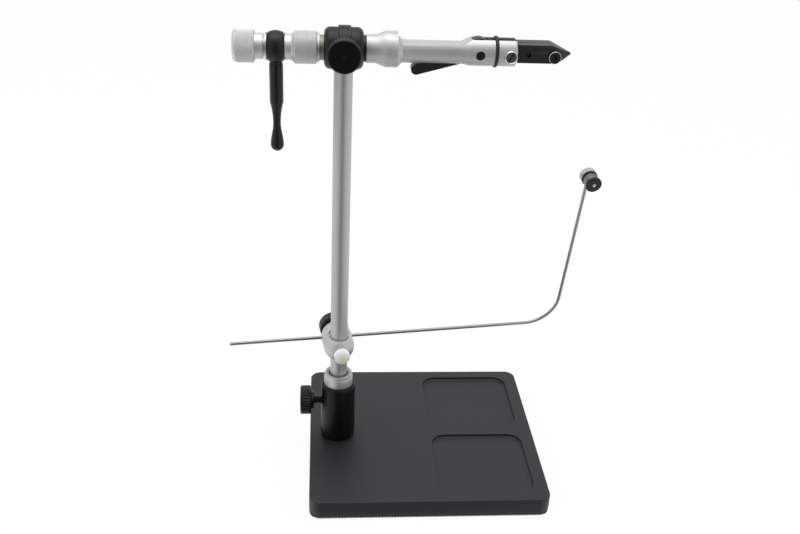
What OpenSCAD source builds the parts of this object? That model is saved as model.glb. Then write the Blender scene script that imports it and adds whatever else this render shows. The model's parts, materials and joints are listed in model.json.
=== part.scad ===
// Fly tying vise. A plate with two trays carries a socket and a stem. The stem carries a
// rotary head whose cam lever closes two jaws on a hook, and a clamp that holds a bobbin cradle.
// Millimetres, +Z up. The origin is on the table, under the axis of the stem, and +X points
// from the stem to the jaws.

/* [Base] */
// Width of the plate, left to right
base_w = 133; // [125:1:160]
// Depth of the plate, front to back
base_d = 126.5; // [120:0.5:160]
// Thickness of the plate
plate_t = 9.5; // [8.5:0.5:14]
// Radius of the plate's corners, seen from above
base_corner_r = 6.35; // [4:0.05:9]
// Rounding of the plate's top edge
plate_edge_r = 0.7; // [0.3:0.1:1.5]
// Distance from the plate's left edge to the axis of the stem
stem_inset = 16.2; // [14:0.2:24]
// Thickness of the ribbed rubber mat
mat_t = 1.5; // [1.2:0.1:3]
// Distance from one rib of the mat to the next
mat_pitch = 1.7; // [1.5:0.1:4]

/* [Trays] */
// Width of each tray, left to right
tray_w = 53.5; // [30:0.5:55]
// Length of each tray, front to back
tray_l = 52; // [30:0.5:53]
// Depth of each tray
tray_depth = 1.8; // [1:0.1:3]
// Radius of each tray's corners, seen from above
tray_corner_r = 8; // [4:0.5:12]
// Bar of metal between the two trays
tray_gap = 8.5; // [5:0.5:12]
// Metal to the right of the trays
tray_margin = 7.8; // [5:0.2:12]

/* [Socket and height collar] */
// Height of the socket
socket_h = 35; // [31:0.5:42]
// Diameter of the socket at its top
socket_top_d = 19.2; // [17.5:0.1:21]
// Diameter of the socket at its foot
socket_foot_d = 20; // [18:0.1:24]
// Height of the socket's thumb screw above the plate
socket_screw_h = 23; // [20:0.5:26]
// Height of the collar
collar_h = 7.3; // [6:0.1:9]
// Diameter of the collar
collar_d = 17.2; // [15.5:0.1:19]

/* [Stem and housing] */
// Diameter of the stem
stem_d = 9.525; // [9:0.005:10]
// Height of the head's axis above the table
head_h = 241.7; // [225:0.1:260]
// Width of the housing along the spindle
housing_w = 19.2; // [17:0.1:24]
// Diameter of the housing's barrel
housing_d = 20.2; // [19:0.1:22]
// Width of the raised band round the housing
band_w = 6.3; // [5:0.1:8]

/* [Spindle line] */
// Diameter of the spindle
spindle_d = 8; // [7:0.1:8.6]
// Diameter of the knurled collar and of the lock knob
knurl_d = 15.9; // [14.5:0.1:18]
// Width of the knurled collar
collar_w = 11.4; // [9:0.1:14]
// Width of the lock knob
lock_w = 10.6; // [8:0.1:14]
// Diameter of the necks beside the crank
neck_d = 12.4; // [11:0.1:14]
// Width of the crank's hub
hub_w = 8.6; // [7.5:0.1:10]
// Diameter of the crank's hub
hub_d = 15.6; // [14:0.1:18]

/* [Crank handle] */
// Length of the handle below the hub
handle_l = 45.6; // [36:0.1:60]
// Diameter of the handle's upper part
handle_d = 6.8; // [6:0.1:7.2]
// Diameter of the handle's waist
waist_d = 3.85; // [3:0.05:5]
// Diameter of the ball at the handle's end
ball_d = 6.65; // [5.5:0.05:9]

/* [Jaw head] */
// Diameter of the head beside the housing
shank_d = 13.7; // [12.5:0.1:15]
// Diameter of the head's swell
swell_d = 17.4; // [16:0.1:20]
// Diameter of the bar
bar_d = 12.7; // [12:0.1:14]
// Length of the bar
bar_l = 29.4; // [28:0.1:34]
// Height of the milled flat above the bar's axis
bar_flat_h = 3.65; // [3.2:0.05:4.4]
// Diameter of the slotted block
block_d = 14.2; // [13.6:0.1:15.5]
// Length of the slotted block
block_l = 21.8; // [21.4:0.1:26]
// Height of the block's flat above its axis
block_flat_h = 6.3; // [5.8:0.05:6.7]
// Width of the slot for the cam and the jaws
slot_w = 6; // [5.4:0.1:6.6]

/* [Cam lever] */
// Thickness of the lever's arm, which is also its round end's diameter
lever_d = 5; // [4:0.1:5.6]
// Length from the cam pin to the centre of the lever's end
lever_l = 31.95; // [26:0.05:36]
// Slope of the lever below the bar, in degrees
lever_slope = 15.8; // [14:0.1:18]
// Diameter of the cam's working disc
cam_d = 12; // [11:0.1:12.4]
// Diameter of the cam pin
cam_pin_d = 4.6; // [3.6:0.1:5.2]

/* [Jaws] */
// Length of the jaws in front of the block
jaw_l = 27.6; // [24:0.1:34]
// Width of the closed pair of jaws
jaw_w = 10.7; // [10:0.1:12]
// Height of the jaws above the head's axis
jaw_up = 4.9; // [4.2:0.1:5.4]
// Depth of the jaws below the head's axis
jaw_down = 4; // [3.6:0.1:5]
// Length of the nose that tapers to the tip
nose_l = 10.4; // [8:0.1:12]
// Diameter of the adjusting screw's head
adjust_d = 6.3; // [5:0.1:6.6]

/* [Bobbin cradle] */
// Height of the rod above the table
cradle_h = 71.3; // [68:0.1:120]
// Turn of the cradle about the stem, in degrees
cradle_turn = 7.75; // [0:0.25:90]
// Diameter of the clamp's body
clamp_d = 17.3; // [16.5:0.1:20]
// Distance from the stem's axis to the rod's axis
rod_offset = 9.7; // [9:0.1:12]
// Diameter of the rod
rod_d = 2.4; // [2:0.1:3]
// Length of the rod to the left of the clamp's middle
rod_tail = 60.5; // [40:0.5:90]
// Length of the rod from the clamp's middle to its corner
rod_reach = 132; // [100:0.5:160]
// Length of the rod from its corner to the roller's axis
rod_rise = 104.3; // [70:0.1:140]
// Radius of the rod's bend
rod_bend_r = 12; // [8:0.5:20]
// Lean of the rod's upper leg towards the front, in degrees
rod_lean = 11.3; // [0:0.1:30]
// Diameter of the roller's discs
roller_d = 8.8; // [7:0.1:12]

/* [Thumb knobs] */
// Diameter of the black knobs
knob_d = 18.4; // [16:0.1:19]
// Thickness of the black knobs
knob_t = 6.3; // [5.5:0.1:8]
// Diameter of the black knobs' screws
knob_screw_d = 4.8; // [4:0.1:5]

/* [Hidden] */
$fn = 96;

// Clearances and the overrun of cuts
cut = 1;
run_gap = 0.05;
fixed_gap = 0.01;
face_gap = 0.05;

// Heights of the stack on the table
plate_top = mat_t + plate_t;
socket_top = plate_top + socket_h;
collar_foot = socket_top + face_gap;
collar_top = collar_foot + collar_h;
base_mid_x = base_w / 2 - stem_inset;

// Mat: the ribs run front to back, and one lies under the stem
mat_groove_w = 0.7;
mat_groove_h = 0.6;
mat_inset = 0.2;
mat_edge_rib = 1;

// Trays: how far the wall's foot is rounded
tray_foot_r = 1;

// Bolt that holds the socket
bolt_d = 6;
bolt_head_d = 10;
bolt_head_h = 5.2;
bolt_hex = 5;
bolt_hex_h = 3;
bolt_pocket_gap = 0.3;
bolt_pocket_h = 5.6;
bolt_grip = 5.2;

// Socket: its floor, the round of its mouth and its bore
socket_floor = 6.4;
socket_mouth_r = 1;
socket_foot_step = 1.2;
stem_foot_gap = 0.1;
stem_r = stem_d / 2;
stem_bore_r = stem_r + run_gap;
stem_chamfer = 0.6;

// Thumb knobs and their screws and pads
knob_face_d_share = 0.87;
knob_rim = 1.1;
knob_dish = 0.5;
knob_dish_d_share = 0.72;
knob_rib_n = 30;
knob_rib_r = 0.75;
knob_rib_out = 0.3;
knob_hub_d = 10.3;
knob_hub_t = 1.5;
knob_grip = 4.4;
knob_stand_off = 4.5;
knob_dot_d = 1.1;
knob_dot_h = 0.3;
pad_t = 1.2;
pad_side_gap = 0.1;
knob_screw_r = knob_screw_d / 2;
knob_hole_r = knob_screw_r + run_gap;

// Height collar
collar_neck_h = 1.5;
collar_neck_inset = 1.1;
collar_mouth = 0.8;
collar_bevel = 0.4;
grub_d = 3;
grub_hex = 1.5;
grub_hex_h = 1.4;
grub_inset = 0.4;

// Housing and bushes
barrel_r = housing_d / 2;
barrel_fillet_r = 3;
band_rise = 0.9;
band_shift = 0.35;
band_bevel = 0.4;
spot_face = 0.35;
spot_gap = 0.3;
bush_wall = 1.5;
rear_flange_t = 2.1;
front_flange_t = 1;
rear_flange_d = 12.4;
front_flange_d = 12.9;
flange_groove = 0.35;
flange_groove_w = 0.5;
bush_l = 6;
spindle_r = spindle_d / 2;
bush_bore_r = spindle_r + run_gap;
bush_r = bush_bore_r + bush_wall;
housing_end = housing_w / 2;
stem_top = head_h - bush_r - pad_side_gap - stem_chamfer;

// Knurled collar: its ring, bevels and neck, counted away from the housing
collar_ring_w = 1;
collar_ring_d = 14;
knurl_bevel = 0.7;
collar_neck_w = 3.2;
neck_step_w = 1.1;
collar_x0 = -housing_end - face_gap - rear_flange_t - face_gap;
collar_x1 = collar_x0 - collar_ring_w;
collar_x2 = collar_x1 - collar_w;
collar_x3 = collar_x2 - neck_step_w;
collar_x4 = collar_x3 - collar_neck_w;

// Crank hub, its washer and the lock knob, further out
hub_x0 = collar_x4 - face_gap;
hub_x1 = hub_x0 - hub_w;
hub_crown = 0.75;
hub_edge = 0.9;
washer_t = 0.85;
washer_d = 13.2;
washer_x0 = hub_x1 - face_gap;
washer_x1 = washer_x0 - washer_t;
lock_nose_w = 0.75;
lock_nose_d = 9.4;
lock_neck_w = 4.1;
lock_x0 = washer_x1 - face_gap;
lock_x1 = lock_x0 - lock_nose_w;
lock_x2 = lock_x1 - lock_neck_w;
lock_x3 = lock_x2 - lock_w;
lock_end_bevel_w = 1.9;
lock_end_bevel = 1.2;
thread_d = 6;
thread_shoulder = 0.7;
lock_room = 2;

// Handle: a straight grip, a hollow curve to the waist, and a ball
handle_x = (hub_x0 + hub_x1) / 2;
handle_top = head_h - hub_d / 2;
handle_bottom = handle_top - handle_l;
handle_stub_d = 4;
handle_stub_l = 3;
handle_undercut = 0.35;
handle_undercut_h = 0.8;
handle_tip_d_share = 0.97;
handle_grip_share = 0.435;
handle_waist_share = 0.68;
handle_steps = 9;
hollow_power = 2.2;

// Head: places along +X, counted from the front bush
head_x0 = housing_end + face_gap + front_flange_t + face_gap;
shank_l = 4.8;
swell_cone_l = 4.9;
swell_l = 5.7;
swell_drop_l = 2.3;
rise_l = 5.2;
head_edge = 0.3;
block_edge_r = 1.3;
swell_x0 = head_x0 + shank_l + swell_cone_l;
swell_x1 = swell_x0 + swell_l;
bar_x0 = swell_x1 + swell_drop_l;
bar_x1 = bar_x0 + bar_l;
block_x0 = bar_x1 + rise_l;
block_x1 = block_x0 + block_l;
mill_r = 4.6;
mill_side = 12;
spindle_grip = 13;

// Cam: the pin, the working disc's offset from it, and the thumb that stands out on top
cam_inset = 3.35;
cam_x = block_x0 + cam_inset;
cam_drop = 0.6;
cam_throw = 1;
cam_turn = 45;
cam_pin_recess = 1.6;
cam_reach = cam_throw * cos(cam_turn) + cam_d / 2;
hump_d = 12.1;
hump_back = 0.45;
hump_up = 1.6;
hump_reach = sqrt(pow(hump_back, 2) + pow(hump_up, 2)) + hump_d / 2;
pocket_gap = 0.25;
lever_side_gap = 0.3;
lever_roof_gap = 0.4;

// Wedge between the tails of the jaws
wedge_gap = 0.1;
wedge_body_l = 3.2;
wedge_nose_l = 2.8;
wedge_w = 3.8;
wedge_nose_w = 1;
wedge_h = 6;
wedge_side_gap = 0.04;
wedge_x0 = cam_x + cam_reach + wedge_gap;
wedge_x1 = wedge_x0 + wedge_body_l;
wedge_x2 = wedge_x1 + wedge_nose_l;

// Screw that holds the jaws in the block
jaw_screw_inset = 3.35;
jaw_screw_drop = 1;
jaw_screw_d = 4;
jaw_screw_head_d = 5.2;
jaw_screw_head_t = 2;
jaw_screw_ring_d = 6.4;
jaw_screw_slot_w = 1;
jaw_screw_slot_h = 0.9;
jaw_screw_slot_turn = 60;
jaw_screw_proud = 0.15;
jaw_screw_side_gap = 0.15;
jaw_screw_x = block_x1 - jaw_screw_inset;

// Jaws: the pair rocks about the adjusting screw, so the gap between them opens behind it
jaw_shoulder_gap = 0.3;
jaw_face_gap = 0.03;
jaw_relief = 0.024;
tail_side_gap = 0.1;
tail_up = 5.6;
tail_down = 3.6;
tip_half_h = 0.6;
tip_half_w = 0.5;
tip_round = 0.5;
nose_under_l = 7;
nose_side_l = 8.6;
fulcrum_inset = 9.1;
adjust_drop = 0.8;
adjust_shank_d = 3;
adjust_hole_gap = 0.4;
adjust_head_t = 2;
adjust_recess = 0.95;
adjust_seat_gap = 0.2;
adjust_pocket_gap = 0.3;
adjust_hex = 2.5;
adjust_hex_h = 1.2;
adjust_bevel = 0.35;
guide_d = 1.75;
guide_hole_d = 2.3;
guide_inset = 5.6;
guide_recess = 1.2;
jaw_x0 = block_x1 + jaw_shoulder_gap;
jaw_tip = block_x1 + jaw_l;
fulcrum_x = jaw_tip - fulcrum_inset;
guide_x = block_x1 + guide_inset;

// O-ring round the block
o_ring_d = 1.4;
o_ring_inset = 9.7;
o_ring_gap = 0.02;

// Cradle clamp: two balls joined by a cylinder, faced off round the stem and under the knob
clamp_r = clamp_d / 2;
clamp_face_h = 5.8;
clamp_face_r_share = 0.76;
clamp_rear_cut = 0.75;
clamp_mouth = 0.5;
nylon_d = 4;
nylon_head_d = 8.6;
nylon_head_l = 4.2;
nylon_neck_l = 1.3;
nylon_dome = 0.8;
nylon_edge_r = 0.8;

// Roller: lengths along its axle, counted from the rod towards the front
hub_back = 2;
hub_front = 1.7;
ring_t = 0.8;
drum_l = 4.2;
disc_t = 1.2;
axle_d = 2;
axle_head_d = 2.6;
axle_head_t = 0.5;
axle_grip = 2.4;
drum_inset = 0.35;
rod_top_gap = 0.5;
disc_edge = 0.3;
ring_y0 = -hub_front - face_gap;
ring_y1 = ring_y0 - ring_t;
drum_y1 = ring_y1 - drum_l;
disc_y1 = drum_y1 - disc_t;

// A revolved piece along X: each point is [radius, x].
module turned_x(points)
    rotate([0, 90, 0])
        rotate_extrude()
            polygon(points);

// A round bar along X from x0 to x1.
module bar_x(r, x0, x1)
    translate([min(x0, x1), 0, 0])
        rotate([0, 90, 0])
            cylinder(r = r, h = abs(x1 - x0));

// A round bar along Y from y0 to y1.
module bar_y(r, y0, y1)
    translate([0, max(y0, y1), 0])
        rotate([90, 0, 0])
            cylinder(r = r, h = abs(y1 - y0));

// An outline in the XZ plane, given a width along Y and centred on it.
module plate_y(points, w)
    rotate([90, 0, 0])
        linear_extrude(w, center = true)
            polygon(points);

// Half of a cross-section with one rounded corner, for the slab below.
module rounded_half(half_w, t, e) {
    square([half_w - e, t]);
    square([half_w, t - e]);
    translate([half_w - e, t - e])
        circle(e);
}

// A slab standing on z = 0 with round corners, its top edge rounded by e.
module soft_slab(w, d, t, r, e) {
    for (turn = [0, 180])
        rotate([90, 0, turn])
            translate([0, 0, r - d / 2])
                linear_extrude(d - 2 * r)
                    rounded_half(w / 2, t, e);
    for (turn = [90, 270])
        rotate([90, 0, turn])
            translate([0, 0, r - w / 2])
                linear_extrude(w - 2 * r)
                    rounded_half(d / 2, t, e);
    for (x = [-1, 1], y = [-1, 1])
        translate([x * (w / 2 - r), y * (d / 2 - r), 0])
            rotate_extrude()
                rounded_half(r, t, e);
}

// Moves its children to the head's axis.
module on_head()
    translate([0, 0, head_h])
        children();

// Turns and raises its children to the clamp: X along the rod, Y to the back.
module on_cradle()
    translate([0, 0, cradle_h])
        rotate([0, 0, cradle_turn])
            children();

// A black thumb knob whose inner face is at z = 0, with the hub behind it if it has one.
module thumb_knob(hub_t) {
    face_r = knob_d * knob_face_d_share / 2;
    dish_r = knob_d * knob_dish_d_share / 2;
    difference() {
        rotate_extrude()
            polygon([[0, -hub_t], [knob_hub_d / 2, -hub_t], [knob_hub_d / 2, 0],
                [knob_d / 2 - knob_rim / 2, 0], [knob_d / 2, knob_rim / 2],
                [knob_d / 2, knob_t - knob_rim], [face_r, knob_t], [dish_r, knob_t],
                [dish_r - knob_dish, knob_t - knob_dish], [0, knob_t - knob_dish]]);
        for (i = [0 : knob_rib_n - 1])
            rotate([0, 0, i * 360 / knob_rib_n])
                translate([knob_d / 2 + knob_rib_out, 0, -cut])
                    cylinder(r = knob_rib_r, h = knob_t + 2 * cut, $fn = 24);
        translate([0, 0, -hub_t - cut])
            cylinder(r = knob_screw_r + fixed_gap, h = hub_t + cut + knob_grip);
        translate([0, 0, knob_t - knob_dish - knob_dot_h])
            cylinder(r = knob_dot_d / 2, h = knob_dish + knob_dot_h + cut);
    }
}

// The screw of a black knob, from z0 inside the work to its end in the knob.
module knob_stud(z0, knob_z)
    translate([0, 0, z0])
        cylinder(r = knob_screw_r, h = knob_z + knob_grip - fixed_gap - z0);

// The loose pad in front of a knob's screw, from z0 to its thickness.
module screw_pad(z0)
    translate([0, 0, z0])
        cylinder(r = knob_screw_r - pad_side_gap + run_gap, h = pad_t);

// A hexagon socket grub screw along +Z from z0 to z1.
module grub(z0, z1)
    difference() {
        translate([0, 0, z0])
            cylinder(d = grub_d, h = z1 - z0);
        translate([0, 0, z1 - grub_hex_h])
            cylinder(d = grub_hex / cos(30), h = grub_hex_h + cut, $fn = 6);
    }

module base_plate()
    color([0.16, 0.16, 0.17])
        difference() {
            translate([base_mid_x, 0, mat_t])
                soft_slab(base_w, base_d, plate_t, base_corner_r, plate_edge_r);
            for (side = [-1, 1])
                translate([base_w - stem_inset - tray_margin - tray_w / 2,
                    side * (tray_gap + tray_l) / 2, plate_top - tray_depth])
                    tray_cut();
            translate([0, 0, mat_t - cut])
                cylinder(d = bolt_head_d + 2 * bolt_pocket_gap, h = bolt_pocket_h + cut);
            cylinder(d = bolt_d + 2 * bolt_pocket_gap, h = plate_top + cut);
        }

// The tray's hollow: a slab upside down, so that its rounded edge is the wall's foot.
module tray_cut()
    translate([0, 0, tray_depth + cut])
        mirror([0, 0, 1])
            soft_slab(tray_w, tray_l, tray_depth + cut, tray_corner_r, tray_foot_r);

module base_mat() {
    half = base_w / 2 - mat_inset - mat_edge_rib - mat_groove_w;
    left = floor((half - base_mid_x) / mat_pitch);
    right = floor((half + base_mid_x) / mat_pitch);
    color([0.05, 0.05, 0.05])
        difference() {
            translate([base_mid_x, 0, 0])
                linear_extrude(mat_t)
                    offset_rect(base_w, base_d, base_corner_r, mat_inset);
            for (i = [-left : right - 1])
                translate([(i + 0.5) * mat_pitch - mat_groove_w / 2, -base_d / 2 - cut, -cut])
                    cube([mat_groove_w, base_d + 2 * cut, mat_groove_h + cut]);
        }
}

// A flat outline with round corners, drawn in by a margin.
module offset_rect(w, d, r, margin) {
    square([w - 2 * r, d - 2 * margin], center = true);
    square([w - 2 * margin, d - 2 * r], center = true);
    for (x = [-1, 1], y = [-1, 1])
        translate([x * (w / 2 - r), y * (d / 2 - r)])
            circle(r - margin);
}

module stem_socket() {
    foot_r = socket_foot_d / 2;
    top_r = socket_top_d / 2;
    color([0.08, 0.08, 0.09])
        difference() {
            translate([0, 0, plate_top])
                union() {
                    rotate_extrude()
                        polygon([[0, 0], [foot_r, 0], [foot_r, socket_foot_step],
                            [top_r, socket_h - socket_mouth_r],
                            [top_r - socket_mouth_r, socket_h - socket_mouth_r],
                            [top_r - socket_mouth_r, socket_h], [0, socket_h]]);
                    translate([0, 0, socket_h - socket_mouth_r])
                        rotate_extrude()
                            translate([top_r - socket_mouth_r, 0])
                                intersection() {
                                    circle(socket_mouth_r);
                                    square(socket_mouth_r);
                                }
                }
            translate([0, 0, plate_top + socket_floor])
                cylinder(r = stem_bore_r, h = socket_h);
            translate([0, 0, plate_top - cut])
                cylinder(r = bolt_d / 2 + fixed_gap, h = bolt_grip + cut + face_gap);
            translate([0, 0, plate_top + socket_screw_h])
                bar_x(knob_hole_r, -foot_r - cut, 0);
        }
}

module socket_bolt() {
    head_z = mat_t + bolt_pocket_h - bolt_head_h;
    color([0.2, 0.2, 0.2])
        difference() {
            union() {
                translate([0, 0, head_z])
                    cylinder(d = bolt_head_d, h = bolt_head_h);
                translate([0, 0, head_z])
                    cylinder(d = bolt_d, h = plate_top + bolt_grip - head_z);
            }
            translate([0, 0, head_z - cut])
                cylinder(d = bolt_hex / cos(30), h = bolt_hex_h + cut, $fn = 6);
        }
}

// The socket's thumb screw lies along -X: its own +Z points outwards.
module on_socket_screw()
    translate([0, 0, plate_top + socket_screw_h])
        rotate([0, -90, 0])
            children();

socket_pad_z = stem_r + face_gap;
socket_knob_z = socket_top_d / 2 + knob_stand_off + knob_hub_t;

module socket_screw_pad()
    color([0.72, 0.55, 0.25])
        on_socket_screw()
            screw_pad(socket_pad_z);

module socket_thumb_screw()
    color([0.15, 0.15, 0.15])
        on_socket_screw()
            knob_stud(socket_pad_z + pad_t + face_gap, socket_knob_z);

module socket_thumb_knob()
    color([0.06, 0.06, 0.06])
        on_socket_screw()
            translate([0, 0, socket_knob_z])
                thumb_knob(knob_hub_t);

module height_collar() {
    outer_r = collar_d / 2;
    step_z = collar_h - collar_neck_h;
    neck_r = outer_r - collar_neck_inset;
    color([0.78, 0.79, 0.8])
        difference() {
            translate([0, 0, collar_foot])
                rotate_extrude()
                    polygon([[stem_bore_r, 0], [outer_r - collar_bevel, 0], [outer_r, collar_bevel],
                        [outer_r, step_z - collar_bevel], [outer_r - collar_bevel, step_z],
                        [neck_r, step_z], [neck_r, collar_h - collar_bevel],
                        [neck_r - collar_bevel, collar_h], [stem_bore_r + collar_mouth, collar_h],
                        [stem_bore_r, collar_h - collar_mouth]]);
            on_collar_grub()
                cylinder(r = grub_d / 2 + fixed_gap, h = outer_r + cut);
        }
}

// The collar's grub screw lies along +Y, out of sight behind the stem.
module on_collar_grub()
    translate([0, 0, collar_foot + (collar_h - collar_neck_h) / 2])
        rotate([-90, 0, 0])
            children();

module height_collar_screw()
    color([0.2, 0.2, 0.2])
        on_collar_grub()
            grub(stem_r + run_gap, collar_d / 2 - grub_inset);

module stem() {
    foot = plate_top + socket_floor + stem_foot_gap;
    color([0.6, 0.61, 0.62])
        translate([0, 0, foot])
            rotate_extrude()
                polygon([[0, 0], [stem_r - stem_chamfer, 0], [stem_r, stem_chamfer],
                    [stem_r, stem_top - foot - stem_chamfer],
                    [stem_r - stem_chamfer, stem_top - foot], [0, stem_top - foot]]);
}

// Half of the barrel's outline: radius against distance along the spindle.
module barrel_outline()
    rotate([0, 0, 90]) {
        translate([-housing_end, -barrel_r + barrel_fillet_r])
            square([housing_w, barrel_r - barrel_fillet_r]);
        translate([-housing_end + barrel_fillet_r, -barrel_r])
            square([housing_w - 2 * barrel_fillet_r, barrel_r]);
        for (side = [-1, 1])
            translate([side * (housing_end - barrel_fillet_r), -barrel_r + barrel_fillet_r])
                circle(barrel_fillet_r);
    }

module head_housing() {
    band_r = barrel_r + band_rise;
    band_x0 = band_shift - band_w / 2;
    band_x1 = band_shift + band_w / 2;
    color([0.12, 0.12, 0.13])
        difference() {
            on_head()
                union() {
                    rotate([0, 90, 0])
                        rotate_extrude()
                            barrel_outline();
                    turned_x([[0, band_x0], [band_r - band_bevel, band_x0],
                        [band_r, band_x0 + band_bevel], [band_r, band_x1 - band_bevel],
                        [band_r - band_bevel, band_x1], [0, band_x1]]);
                }
            on_head()
                bar_x(bush_r + fixed_gap, -housing_end - cut, housing_end + cut);
            translate([0, 0, head_h - band_r - cut])
                cylinder(r = stem_r + fixed_gap, h = stem_top + face_gap - head_h + band_r + cut);
            on_head()
                bar_y(knob_hole_r, -band_r - cut, 0);
            on_head()
                bar_y(knob_d / 2 + spot_gap, -band_r - cut, -band_r + spot_face);
        }
}

module rear_bush() {
    inner = -housing_end;
    outer = inner - face_gap - rear_flange_t;
    flange_r = rear_flange_d / 2;
    groove_x = (inner + outer) / 2;
    color([0.62, 0.52, 0.4])
        on_head()
            turned_x([[bush_bore_r, inner + bush_l], [bush_r, inner + bush_l],
                [bush_r, inner - face_gap], [flange_r, inner - face_gap],
                [flange_r, groove_x + flange_groove_w / 2],
                [flange_r - flange_groove, groove_x + flange_groove_w / 2],
                [flange_r - flange_groove, groove_x - flange_groove_w / 2],
                [flange_r, groove_x - flange_groove_w / 2], [flange_r, outer],
                [bush_bore_r, outer]]);
}

module front_bush() {
    inner = housing_end;
    outer = inner + face_gap + front_flange_t;
    flange_r = front_flange_d / 2;
    color([0.05, 0.05, 0.05])
        on_head()
            turned_x([[bush_bore_r, inner - bush_l], [bush_r, inner - bush_l],
                [bush_r, inner + face_gap], [flange_r, inner + face_gap], [flange_r, outer],
                [bush_bore_r, outer]]);
}

// The drag screw lies along -Y: its own +Z points to the front.
module on_drag_screw()
    on_head()
        rotate([90, 0, 0])
            children();

drag_pad_z = spindle_r + face_gap;
drag_knob_z = barrel_r + band_rise - spot_face + face_gap;

module drag_pad()
    color([0.9, 0.9, 0.85])
        on_drag_screw()
            screw_pad(drag_pad_z);

module drag_screw()
    color([0.15, 0.15, 0.15])
        on_drag_screw()
            knob_stud(drag_pad_z + pad_t + face_gap, drag_knob_z);

module drag_knob()
    color([0.06, 0.06, 0.06])
        on_drag_screw()
            translate([0, 0, drag_knob_z])
                thumb_knob(0);

module spindle() {
    thread_end = lock_x3 + knob_grip;
    shoulder = hub_x1 + thread_shoulder;
    front = head_x0 + spindle_grip;
    thread_r = thread_d / 2;
    color([0.7, 0.71, 0.72])
        on_head()
            turned_x([[0, thread_end], [thread_r - head_edge, thread_end],
                [thread_r, thread_end + head_edge], [thread_r, shoulder], [spindle_r, shoulder],
                [spindle_r, front - head_edge], [spindle_r - head_edge, front], [0, front]]);
}

module knurled_collar() {
    bore_r = spindle_r + fixed_gap;
    ring_r = collar_ring_d / 2;
    big_r = knurl_d / 2;
    small_r = neck_d / 2;
    mid_r = (big_r + small_r) / 2;
    color([0.8, 0.81, 0.82])
        difference() {
            on_head()
                turned_x([[bore_r, collar_x0], [ring_r, collar_x0], [ring_r, collar_x1],
                    [big_r - knurl_bevel, collar_x1], [big_r, collar_x1 - knurl_bevel],
                    [big_r, collar_x2 + knurl_bevel], [big_r - knurl_bevel, collar_x2],
                    [mid_r, collar_x2], [small_r, collar_x3], [small_r, collar_x4],
                    [bore_r, collar_x4]]);
            on_knurl_grub()
                cylinder(r = grub_d / 2 + fixed_gap, h = big_r + cut);
        }
}

// The knurled collar's grub screw lies along +Y, at the back.
module on_knurl_grub()
    on_head()
        translate([(collar_x1 + collar_x2) / 2, 0, 0])
            rotate([-90, 0, 0])
                children();

module knurled_collar_screw()
    color([0.2, 0.2, 0.2])
        on_knurl_grub()
            grub(spindle_r + fixed_gap, knurl_d / 2 - grub_inset);

module crank_hub() {
    bore_r = spindle_r + run_gap;
    crown_r = hub_d / 2;
    side_r = crown_r - hub_crown;
    color([0.08, 0.08, 0.09])
        difference() {
            on_head()
                turned_x([[bore_r, hub_x1], [side_r - hub_edge, hub_x1],
                    [side_r, hub_x1 + hub_edge],
                    each [for (i = [1 : 7])
                        [side_r + hub_crown * sin(i * 180 / 8),
                            hub_x1 + hub_edge + (hub_w - 2 * hub_edge) * i / 8]],
                    [side_r, hub_x0 - hub_edge], [side_r - hub_edge, hub_x0],
                    [bore_r, hub_x0]]);
            translate([handle_x, 0, handle_top - cut])
                cylinder(r = handle_stub_d / 2 + fixed_gap,
                    h = handle_stub_l + handle_undercut + cut);
            translate([handle_x, 0, handle_top - handle_d])
                cylinder(d = handle_d, h = handle_d + handle_undercut);
        }
}

// Radius of the handle at a share of its length below the hub: straight, hollow, then swelling.
function handle_r(t) =
    t < handle_grip_share ? handle_d / 2 :
    t < handle_waist_share ?
        waist_d / 2 + (handle_d - waist_d) / 2
            * pow((handle_waist_share - t) / (handle_waist_share - handle_grip_share),
                hollow_power) :
        waist_d / 2 + (ball_d - waist_d) / 2
            * (1 - cos(180 * (t - handle_waist_share) / (ball_share - handle_waist_share))) / 2;
ball_share = 1 - ball_d / 2 / handle_l;

module crank_handle() {
    grip_r = handle_d / 2;
    ball_z = handle_bottom + ball_d / 2;
    color([0.06, 0.06, 0.07])
        translate([handle_x, 0, 0]) {
            rotate_extrude()
                polygon([[0, handle_top + handle_stub_l], [handle_stub_d / 2, handle_top + handle_stub_l],
                    [handle_stub_d / 2, handle_top + handle_undercut],
                    [grip_r - handle_undercut, handle_top + handle_undercut],
                    [grip_r - handle_undercut, handle_top - handle_undercut_h],
                    [grip_r, handle_top - handle_undercut_h - handle_undercut],
                    each [for (i = [0 : handle_steps])
                        let (t = handle_grip_share
                            + (handle_waist_share - handle_grip_share) * i / handle_steps)
                        [handle_r(t), handle_top - t * handle_l]],
                    each [for (i = [1 : handle_steps])
                        let (t = handle_waist_share
                            + (ball_share - handle_waist_share) * i / handle_steps)
                        [handle_r(t), handle_top - t * handle_l]],
                    [0, ball_z]]);
            translate([0, 0, ball_z])
                sphere(d = ball_d);
        }
}

module crank_washer()
    color([0.75, 0.76, 0.77])
        on_head()
            difference() {
                bar_x(washer_d / 2, washer_x0, washer_x1);
                bar_x(thread_d / 2 + run_gap, washer_x0 + cut, washer_x1 - cut);
            }

module lock_knob() {
    bore_r = thread_d / 2 + run_gap;
    nose_r = lock_nose_d / 2;
    big_r = knurl_d / 2;
    small_r = neck_d / 2;
    bore_end = lock_x3 + knob_grip - lock_room - run_gap;
    color([0.8, 0.81, 0.82])
        on_head()
            turned_x([[bore_r, lock_x0], [nose_r, lock_x0], [nose_r, lock_x1],
                [small_r - head_edge, lock_x1], [small_r, lock_x1 - head_edge],
                [small_r, lock_x2], [big_r - knurl_bevel, lock_x2],
                [big_r, lock_x2 - knurl_bevel], [big_r, lock_x3 + lock_end_bevel_w],
                [big_r - lock_end_bevel / 2, lock_x3 + lock_end_bevel_w / 3],
                [big_r - lock_end_bevel, lock_x3], [0, lock_x3], [0, bore_end],
                [bore_r, bore_end]]);
}

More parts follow.
